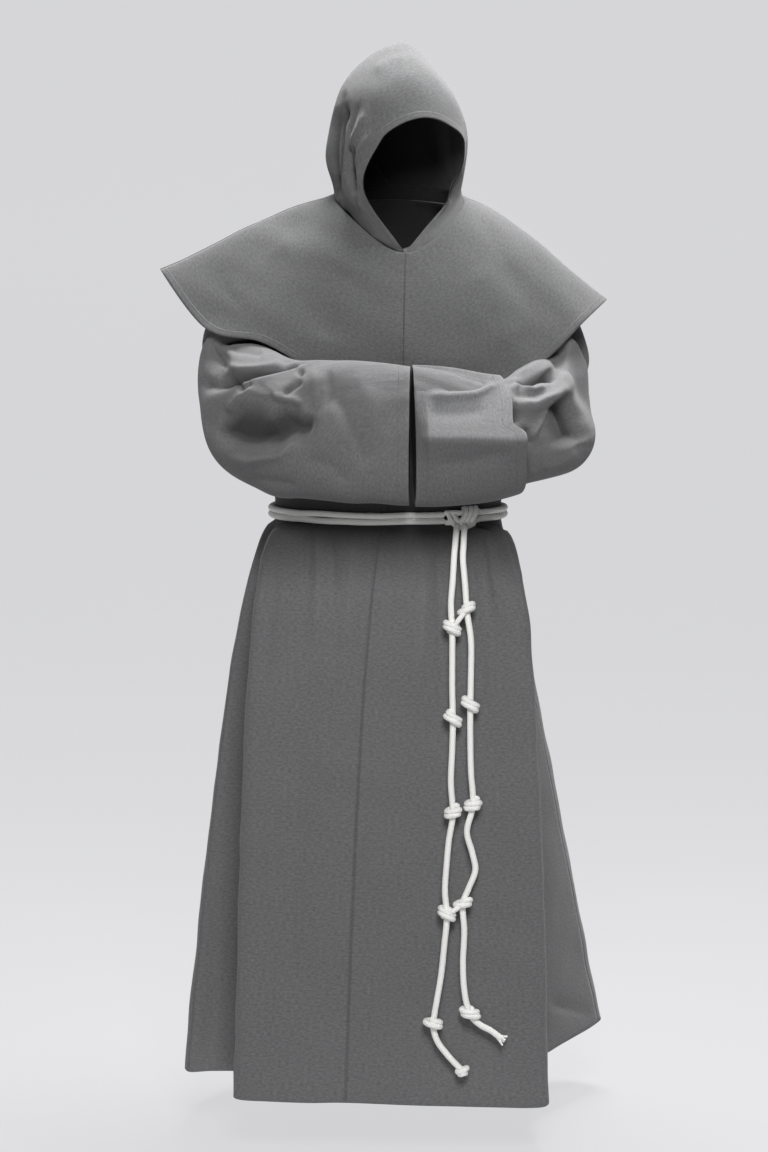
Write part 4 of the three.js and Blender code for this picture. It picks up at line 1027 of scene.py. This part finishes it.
def soften(points, seed, size, depth, closed=False, hold=None, about=None):
    """Slight unevenness of cloth over a grid, none where hold is 0."""
    normals = outward_of(points, closed)
    if about is not None:
        normals = away_from_middle(points, normals, about)
    if closed:
        u, v = distances(points, 1) / MM, distances(points, 0) / MM
        around = np.concatenate([points, points[:, :1]], 1)
        whole = (distances(around, 1) / MM)[:, -1:]
        turn = u / whole * math.tau
        radius = whole.mean() / math.tau
        bump = unevenness(np.cos(turn) * radius, v, seed, size)
        bump = (bump + unevenness(np.sin(turn) * radius, v, seed + 1, size)) / math.sqrt(2)
    else:
        bump = unevenness(points[..., 0] + points[..., 1], points[..., 2], seed, size)
    if hold is not None:
        bump = bump * hold
    return points + normals * (bump * depth)[..., None]


def facing_back(points, normals):
    return normals[..., 1]


def pressed(points, creases, middle, seen=seen_from_front, facing=facing_camera):
    normals = away_from_middle(points, outward_of(points, False), middle)
    return press(points, normals, creases, seen, facing(points, normals))


def pressed_behind(points, creases, middle):
    return pressed(points, creases, middle, seen_from_behind, facing_back)


def faded(plain, creased, from_seam, kind):
    """A panel whose creases fade out towards its side seams, so that these still meet."""
    return mix(plain, creased, ease(0, SEAM_FADE[kind], from_seam)[None, :, None])


def both_halves(left, right):
    """The two grids of a back panel, from those of its left and right halves."""
    return (np.concatenate([left[0], right[0][:, -2::-1] + 360], 1),
            np.concatenate([left[1], right[1][:, -2::-1]], 1))


def there_and_back(values):
    return np.concatenate([values, values[-2::-1]])


def build_tunic(looks):
    middle = MIDDLES["tunic"]
    front, back = np.linspace(0, 90, 100), np.linspace(90, 180, 96)
    made = []
    for name, side in (("tunic_front_left", 1), ("tunic_front_right", -1)):
        plain = soften(tunic_point(*tunic_places(front, side)), *UNEVEN["tunic"], about=middle)
        points = faded(plain, pressed(plain, FRONT_DENTS_BODY, middle), 90 - front, "tunic")
        made.append(cloth_piece(name, points, plain, looks, hem_rows=(0,)))
    grids = both_halves(tunic_places(back, 1), tunic_places(back, -1))
    plain = soften(tunic_point(*grids), *UNEVEN["tunic"], about=middle)
    creased = pressed_behind(plain, TUNIC_BACK_FOLDS, middle)
    points = faded(plain, creased, there_and_back(back) - 90, "tunic")
    made.append(cloth_piece("tunic_back", points, plain, looks, hem_rows=(0,)))
    return made


SLEEVE_RIGHT_FOLDS = [
    ([(-286.4, 1198.8), (-251.2, 1210), (-222.4, 1221.2), (-187.2, 1229.2),
      (-142.4, 1240.4)], 5, 24, 0.5),
    ([(-267.2, 1262.8), (-235.2, 1261.2), (-203.2, 1254.8)], 9, 7, 0.0),
    ([(-267.2, 1237.2), (-244.8, 1229.2), (-219.2, 1230.8), (-164.8, 1242)], 6, -7, 0.0),
    ([(-292.8, 1278.8), (-286.4, 1259.6), (-273.6, 1238.8), (-260.8, 1229.2)], 4, 6, 0.0),
    ([(-222.4, 1210), (-244.8, 1184.4), (-270.4, 1155.6)], 9, -9, 0.0),
    ([(-251.2, 1208.4), (-240, 1195.6), (-224, 1208.4)], 4, 11, 0.0),
    ([(-176, 1187.6), (-161.6, 1198.8), (-145.6, 1213.2)], 4.5, 14, 0.0),
    ([(-152, 1218), (-144, 1227.6)], 4, 9, 0.0),
    ([(-200, 1187.6), (-174.4, 1182.8), (-139.2, 1173.2)], 6, -8, 0.0),
    ([(-139.2, 1174.8), (-150.4, 1134.8), (-171.2, 1106)], 7, -8, 0.0),
    ([(-296, 1144.4), (-251.2, 1118.8), (-193.6, 1114), (-148.8, 1136.4), (-126.4, 1166.8)], 25, 30, 0.7),
    ([(-273.6, 1096.4), (-228.8, 1085.2), (-180.8, 1094.8), (-145.6, 1125.2)], 11, -11, 0.0),
    ([(-308.8, 1203.6), (-283.2, 1205.2), (-251.2, 1213.2)], 10, 9, 0.0),
    ([(-128, 1234), (-124.8, 1198.8), (-126.4, 1160.4)], 6, -3, 0.0),
    ([(-104, 1234), (-102.4, 1195.6), (-104, 1160.4)], 7, 4, 0.0),
    ([(-100.8, 1205.2), (-72, 1150.8), (-52.8, 1110.8), (-36.8, 1061.2)], 15, 7, 0.5),
    ([(-65.6, 1234), (-33.6, 1179.6), (-11.2, 1099.6)], 22, -4, 0.0),
    ([(-148.8, 1086.8), (-100.8, 1074), (-65.6, 1042)], 14, 4, 0.0),
    ([(-244.8, 1054.8), (-196.8, 1048.4), (-148.8, 1042)], 10, 4, 0.0),
]
SLEEVE_LEFT_FOLDS = [
    ([(192, 1208.4), (212.8, 1213.2), (238.4, 1221.2), (272, 1222.8)], 9, 25, 0.0),
    ([(190.4, 1218), (216, 1229.2), (240, 1242)], 4, -5, 0.0),
    ([(185.6, 1197.2), (203.2, 1203.6), (225.6, 1195.6), (248, 1203.6)], 6, -8, 0.0),
    ([(185.6, 1173.2), (228.8, 1171.6), (260.8, 1186), (284.8, 1205.2)], 7, -10, 0.0),
    ([(187.2, 1186), (219.2, 1186), (251.2, 1195.6)], 5, 4, 0.0),
    ([(270.4, 1192.4), (289.6, 1150.8), (302.4, 1106)], 20, 33, -0.7),
    ([(264, 1176.4), (238.4, 1144.4), (220.8, 1118.8), (212.8, 1099.6)], 6, -6, 0.0),
    ([(278.4, 1195.6), (297.6, 1160.4), (308.8, 1122), (308.8, 1099.6)], 7, -9, 0.0),
    ([(288, 1282), (278.4, 1243.6), (272, 1205.2)], 10, -7, 0.0),
    ([(188.8, 1176.4), (192, 1160.4), (200, 1142.8)], 7, 27, 0.0),
    ([(209.6, 1134.8), (216, 1118.8), (219.2, 1102.8)], 6, 14, 0.0),
    ([(235.2, 1067.6), (267.2, 1080.4), (299.2, 1096.4)], 9, -4, 0.0),
]


def tube_normals(points):
    normals = outward_of(points, True)
    outward = ((points - points.mean(1, keepdims=True)) * normals).sum(-1).mean()
    return normals if outward > 0 else -normals


def build_sleeve(name, surface, side, folds, looks):
    turn = np.linspace(0, 360, ROUND_STEPS, endpoint=False)
    along = np.concatenate([np.linspace(-1, 0, 16)[:-1], np.linspace(0, 8, 176)])
    hold = ease(-0.9, 0.3, along)[:, None]
    plain = soften(surface(turn[None, :], along[:, None]), *UNEVEN[name], closed=True, hold=hold)
    normals = tube_normals(plain)
    moved = press(plain, normals, folds, seen_from_front, facing_camera(plain, normals))
    behind = [([(side * x, h) for x, h in line], *rest) for line, *rest in SLEEVE_BACK_FOLDS]
    moved = press(moved, normals, behind, seen_from_behind, facing_back(plain, normals))
    points = mix(plain, moved, hold[..., None])
    return cloth_piece(name, points, plain, looks, True, hem_rows=(len(along) - 1,), seam_rows=(0,))


CUFF_FOLDS = [
    ([(46.4, 1190.8), (91.2, 1189.2), (132.8, 1192.4), (180.8, 1214.8)], 7, -7, 0.0),
    ([(17.6, 1205.2), (91.2, 1205.2), (203.2, 1205.2)], 44, 8, 0.0),
    ([(46.4, 1163.6), (91.2, 1160.4), (158.4, 1166.8)], 14, 4, 0.0),
    ([(75.2, 1202), (123.2, 1205.2), (158.4, 1211.6)], 8, 4, 0.0),
    ([(59.2, 1074), (123.2, 1080.4), (193.6, 1096.4)], 16, 4, 0.0),
]


def build_cuff(looks):
    turn = np.linspace(0, 360, ROUND_STEPS, endpoint=False)
    along = np.linspace(0, 1, 56)
    plain = cuff_point(turn[None, :], along[:, None])
    normals = tube_normals(plain)
    points = press(plain, normals, CUFF_FOLDS, seen_from_front, facing_camera(plain, normals))
    return cloth_piece("cuff_left", points, plain, looks, True, hem_rows=(0, len(along) - 1))


CAPE_FOLDS_FRONT = [
    ([(-65.6, 1400.4), (-100.8, 1339.6), (-113.6, 1267.6)], 34, 3, 0.0),
    ([(123.2, 1400.4), (158.4, 1339.6), (203.2, 1259.6)], 34, -3, 0.0),
    ([(-148.8, 1448.4), (-209.6, 1400.4), (-267.2, 1339.6)], 30, -3, 0.0),
]


def cape_places(angles, side, falls):
    angle = np.repeat(angles[None, :].astype(float), len(falls), 0)
    fall = np.repeat(falls[:, None], len(angles), 1)
    width = np.linalg.norm(cape_point(side * (angle + 0.5), fall)
                           - cape_point(side * (angle - 0.5), fall), axis=-1)
    angle[:, 0] += SEAM_SLIT / 2 / width[:, 0]
    if angles[-1] < 90:
        angle[:, -1] -= SEAM_SLIT / 2 / width[:, -1]
    return side * angle, fall


def build_cape(looks):
    falls = np.linspace(0, 1, 78)
    front, back = np.linspace(0, CAPE_SIDE, 88), np.linspace(CAPE_SIDE, 180, 84)
    middle = MIDDLES["cape"]
    even = {"hold": ease(0, 0.2, falls)[:, None], "about": middle}
    edges = {"hem_rows": (len(falls) - 1,), "seam_rows": (0,)}
    made = []
    for name, side in (("cape_front_left", 1), ("cape_front_right", -1)):
        plain = soften(cape_point(*cape_places(front, side, falls)), *UNEVEN["cape"], **even)
        points = faded(plain, pressed(plain, CAPE_FOLDS_FRONT, middle), CAPE_SIDE - front, "cape")
        made.append(cloth_piece(name, points, plain, looks, **edges))
    grids = both_halves(cape_places(back, 1, falls), cape_places(back, -1, falls))
    plain = soften(cape_point(*grids), *UNEVEN["cape"], **even)
    creased = pressed_behind(plain, CAPE_BACK_FOLDS, middle)
    points = faded(plain, creased, there_and_back(back) - CAPE_SIDE, "cape")
    made.append(cloth_piece("cape_back", points, plain, looks, **edges))
    return made


HOOD_FOLDS = [
    ([(-78.4, 1666), (-83.2, 1611.6), (-80, 1563.6), (-68.8, 1512.4)], 6, 14, 0.5),
    ([(-91.2, 1659.6), (-99.2, 1595.6), (-100.8, 1538), (-88, 1493.2)], 15, 15, 0.0),
    ([(-67.2, 1592.4), (-68.8, 1547.6), (-60.8, 1499.6)], 6, 13, 0.0),
    ([(-76.8, 1573.2), (-62.4, 1605.2), (-43.2, 1643.6)], 5, -4, 0.0),
    ([(-72, 1544.4), (-56, 1576.4), (-36.8, 1608.4)], 5, -4, 0.0),
    ([(-75.2, 1602), (-65.6, 1624.4), (-52.8, 1656.4)], 5, 4, 0.0),
    ([(-56, 1554), (-57.6, 1515.6), (-49.6, 1477.2)], 4, -4, 0.0),
    ([(-84.8, 1491.6), (-65.6, 1458), (-33.6, 1429.2)], 8, 6, 0.0),
    ([(-43.2, 1435.6), (-1.6, 1419.6), (30.4, 1416.4)], 6, 5, 0.0),
    ([(33.6, 1419.6), (72, 1435.6), (100.8, 1461.2)], 6, 5, 0.0),
    ([(94.4, 1544.4), (84.8, 1499.6), (59.2, 1448.4)], 7, -4, 0.0),
    ([(104, 1547.6), (100.8, 1522), (91.2, 1493.2)], 6, 6, 0.0),
    ([(-33.6, 1704.4), (-1.6, 1723.6), (27.2, 1726.8)], 12, -3, 0.0),
]


def build_hood(looks):
    up = np.concatenate([np.linspace(1, 0.08, 76), np.linspace(0.08, 0, 8)[1:]])
    across = np.concatenate([-up, up[-2::-1]])
    back = np.linspace(0, 1, 120)
    middle = MIDDLES["hood"]
    hold = ease(0, 0.15, 1 - np.abs(across))[:, None] * ease(0, 0.1, 1 - back)[None, :]
    plain = soften(hood_point(across[:, None], back[None, :]), *UNEVEN["hood"], hold=hold)
    points = pressed_behind(pressed(plain, HOOD_FOLDS, middle), HOOD_BACK_FOLDS, middle)
    return cloth_piece("hood", np.swapaxes(points, 0, 1), np.swapaxes(plain, 0, 1), looks,
                       hem_rows=(0,), seam_rows=(len(back) - 1,))


# ---------------------------------------------------------------- the rope
def belt_point(angle, rise):
    x, y = waist_point(turned(angle))
    out = ROPE / 2 + BELT["clear"]
    normal = unit(np.stack([(x - WAIST["x"]) / WAIST["half"] ** 2, y / WAIST["front"] ** 2], -1))
    dip = BELT["tilt"] * np.cos(np.radians(angle))
    return joined(x + normal[..., 0] * out, y + normal[..., 1] * out, WAIST["height"] - dip + rise)


KNOT_ANGLE = math.degrees(math.asin((BELT["knot_x"] - WAIST["x"]) / WAIST["half"]))


def build_belt(material):
    start, end = KNOT_ANGLE + BELT["knot_degrees"], KNOT_ANGLE + 360 - BELT["knot_degrees"]
    rise = (ROPE + BELT["apart"]) / 2
    for name, offset in (("upper", rise), ("lower", -rise)):
        angles = np.linspace(start, end, 60)
        wander = unevenness(angles * 3, 0 * angles, 41 if offset > 0 else 43, 90) * 0.5
        points, _ = spline(belt_point(angles, offset + wander), 420)
        rope_piece(f"belt_rope_{name}", [(points, ROPE / 2, 24)], material, [f"belt_rope_{name}"])


def build_belt_knot(material):
    middle = belt_point(np.float64(KNOT_ANGLE), 0)
    across = unit(belt_point(np.float64(KNOT_ANGLE + 4), 0) - belt_point(np.float64(KNOT_ANGLE - 4), 0))
    outward = np.array([across[1], -across[0], 0])

    def place(along, out, rise):
        return middle + across * along + outward * out + np.array([0, 0, rise])

    lines = [
        [(-28, 1.5, 8), (-18, 4, 8), (-6, 6, 7), (8, 6, 7), (18, 5, 8), (28, 1.5, 9)],
        [(-28, 1.5, -7), (-20, 5, -7), (-10, 7, -5), (6, 7, -4), (18, 5, -5), (28, 1.5, -6)],
        [(-25, 4, 5), (-22, 8, -6), (-12, 11, -14), (2, 12, -17), (14, 10, -13), (20, 6, -4)],
        [(-16, 6, 3), (-13, 10, -4), (-4, 13, -9), (7, 13, -8), (15, 9, -1)],
    ]
    lines += [[(along + a, o, r) for a, o, r in (
        (-6, 2, -10), (-5, 10, -9), (-3, 14.5, -5), (0, 16.5, 1), (4, 15, 8), (7, 9, 13.5), (8, 2, 13))]
        for along in (-5, 4, 13)]
    strands = [(spline([place(*spot) for spot in line], 60)[0], ROPE / 2 * 0.9, 20) for line in lines]
    rope_piece("belt_knot", strands, material, ["belt_knot"])


def knot_strand(centre, axis, turns, pitch, wide, tilt, spin):
    """A rope wound round itself: slanting turns about an axis, with both ends tucked inside."""
    ahead = unit(np.asarray(axis, float))
    side = unit(np.cross(ahead, [0.0, 1.0, 0.0]))
    front = np.cross(side, ahead)
    t = np.linspace(-0.5, 0.5, 90)
    turn = t * turns * math.tau + spin
    tucked = np.clip((np.abs(t) - 0.42) / 0.08, 0, 1)
    radius = ROPE / 2 + wide * (1 - 0.9 * tucked) * (0.86 + 0.14 * np.cos(t * math.tau))
    along = t * turns * pitch + tilt * np.cos(turn)
    points = (centre + ahead * along[:, None] + side * (radius * np.cos(turn))[:, None]
              + front * (radius * np.sin(turn) * 0.9)[:, None])
    return (points, ROPE / 2 * 0.94, 18)


def link_strand(start, end):
    """The length of rope that passes from a knot on one end to the knot beside it."""
    toward = np.array([0, -1.0, 0])
    line = [mix(start, end, t) + toward * out for t, out in ((0.1, 5), (0.35, 9), (0.65, 10), (0.95, 7))]
    return (spline(line, 40)[0], ROPE / 2 * 0.84, 18)


def stopper_strands(tip, ahead):
    """The small round knot that ends a rope."""
    t = np.linspace(-0.5, 0.5, 24)
    ball = (tip + ahead * (t * 11)[:, None], 4.6 + 3.2 * np.cos(t * math.pi), 20)
    return [ball, knot_strand(tip, ahead, 1.3, 5.0, 2.6, 2.0, 0.6)]


def fray_strands(tip, ahead):
    """Loose yarns at a rope's cut end."""
    random = np.random.default_rng(61)
    side = unit(np.cross(ahead, [0.0, 1.0, 0.0]))
    strands = []
    for _ in range(7):
        lean = random.uniform(-0.8, 0.8) * side + random.uniform(-0.5, 0.3) * np.array([0, 1.0, 0])
        heading = unit(ahead + lean)
        length = random.uniform(8, 14)
        start = tip - ahead * 3 + side * random.uniform(-2.6, 2.6)
        bend = side * random.uniform(-3, 3)
        line = [start, start + heading * length * 0.5 + bend * 0.4, start + heading * length + bend]
        t = np.linspace(0, 1, 16)
        strands.append((spline(line, 16)[0], 2.7 - 1.3 * t, 10))
    return strands


def build_ends(material):
    last = END_STEPS - 1
    runs = {side: spline(end["route"], END_STEPS) for side, end in ROPE_ENDS.items()}
    centres = {side: runs[side][0][np.rint(end["knots"]["at"] * last).astype(int)]
               for side, end in ROPE_ENDS.items()}
    for side, end in ROPE_ENDS.items():
        points, length = runs[side]
        forms = end["knots"]
        for number, centre in enumerate(centres[side], 1):
            index = int(round(forms["at"][number - 1] * last))
            axis = points[min(index + 8, last)] - points[max(index - 8, 0)]
            form = [forms[name][number - 1] for name in KNOT_COLUMNS.split()[1:]]
            strands = [knot_strand(centre, axis, *form)]
            if side == "left" and number in LINKED_KNOTS:
                strands.append(link_strand(centre, centres["right"][number - 1]))
            rope_piece(f"rope_knot_{side}_{number}", strands, material,
                                   [f"rope_knot_{side}_{number}"])
        ahead = unit(points[-1] - points[-6])
        if side == "right":
            rope_piece("rope_stopper", stopper_strands(points[-1], ahead), material, [])
        else:
            rope_piece("rope_fray", fray_strands(points[-1], ahead), material, [])
        rope = rope_piece(f"rope_end_{side}", [(points, ROPE / 2, 24)], material, [f"rope_end_{side}"])


# ---------------------------------------------------------------- light and floor
STAGE = {"near": -7.0, "back": 6.2, "bend": 1.6, "height": 8.5, "half_width": 9.0,
         "tone": 0.1, "glow": 6.35}
WORLD = {"colour": (0.93, 0.97, 1.0, 1), "strength": 0.04}
# Lights: place, aim, size across and up, and watts.
LIGHTS = {
    "overhead_light": ((0.25, 0.24, 1.6), (0, -0.1, -0.5), (1.3, 0.8), 116),
    "front_light": ((0.2, -3.4, 1.75), (0, 0, -0.7), (1.3, 1.3), 124),
    "low_fill": ((-0.6, -3.6, -0.95), (0, 0, -0.7), (1.6, 0.9), 18),
}


def area_light(name, place, aim, size, watts):
    light = bpy.data.lights.new(name, "AREA")
    light.shape = "RECTANGLE"
    light.size, light.size_y = size
    light.energy = watts
    lamp = bpy.data.objects.new(name, light)
    lamp.location = place
    lamp.rotation_euler = (Vector(aim) - Vector(place)).to_track_quat("-Z", "Y").to_euler()
    bpy.context.scene.collection.objects.link(lamp)


def make_stage():
    """A pale floor that curves up into a wall far behind, with soft studio light."""
    low, back, bend = -SHOULDER_HEIGHT * MM, STAGE["back"], STAGE["bend"]
    profile = [(STAGE["near"], low)]
    for turn in np.linspace(0, math.pi / 2, 24):
        profile.append((back - bend + bend * math.sin(turn), low + bend - bend * math.cos(turn)))
    profile.append((back, low + STAGE["height"]))
    vertices = [(x, y, z) for y, z in profile for x in (-STAGE["half_width"], STAGE["half_width"])]
    faces = [(2 * k, 2 * k + 1, 2 * k + 3, 2 * k + 2) for k in range(len(profile) - 1)]
    mesh = bpy.data.meshes.new("backdrop")
    mesh.from_pydata(vertices, [], faces)
    mesh.polygons.foreach_set("use_smooth", [True] * len(faces))
    mesh.materials.append(stage_material("pale_backdrop", STAGE["tone"], STAGE["glow"]))
    backdrop = bpy.data.objects.new("backdrop", mesh)
    bpy.context.scene.collection.objects.link(backdrop)
    for name, setting in LIGHTS.items():
        area_light(name, *setting)
    world = bpy.data.worlds.new("studio")
    world.use_nodes = True
    background = world.node_tree.nodes["Background"]
    background.inputs["Color"].default_value = WORLD["colour"]
    background.inputs["Strength"].default_value = WORLD["strength"]
    bpy.context.scene.world = world


# ---------------------------------------------------------------- everything
make_camera()
rope_look = rope_material("braided_cotton", 1.0)
build_ends(rope_look)
build_belt(rope_look)
build_belt_knot(rope_look)
# The tunic's cloth carries a painted shadow of the sleeves round the waist.
tunic_look = cloth_material("tunic_cloth", 0.145, 0.016, waist_painted_shadow=0.75)
sleeve_look = cloth_material("sleeve_cloth", 0.145, 0.016)
cape_look = cloth_material("cape_cloth", 0.1, 0.010)
# The insides of all pieces are the same cloth made near-black: painted shade for their shadowed insides.
shaded_inside_look = cloth_material("cloth_inside_painted_shade", 0.013, 0.012)
tunic = build_tunic((tunic_look, shaded_inside_look))
sleeves = [
    build_sleeve("sleeve_right", sleeve_right_point, -1, SLEEVE_RIGHT_FOLDS, (sleeve_look, shaded_inside_look)),
    build_sleeve("sleeve_left", sleeve_left_point, 1, SLEEVE_LEFT_FOLDS, (sleeve_look, shaded_inside_look))]
cuff = build_cuff((sleeve_look, shaded_inside_look))
cape = build_cape((cape_look, shaded_inside_look))
hood = build_hood((cape_look, shaded_inside_look))
make_stage()

# Each piece's area, worked out while it was built, is removed again.
for piece in tunic + sleeves + [cuff] + cape + [hood]:
    del piece["area"]

bpy.context.scene.view_settings.view_transform = "Standard"
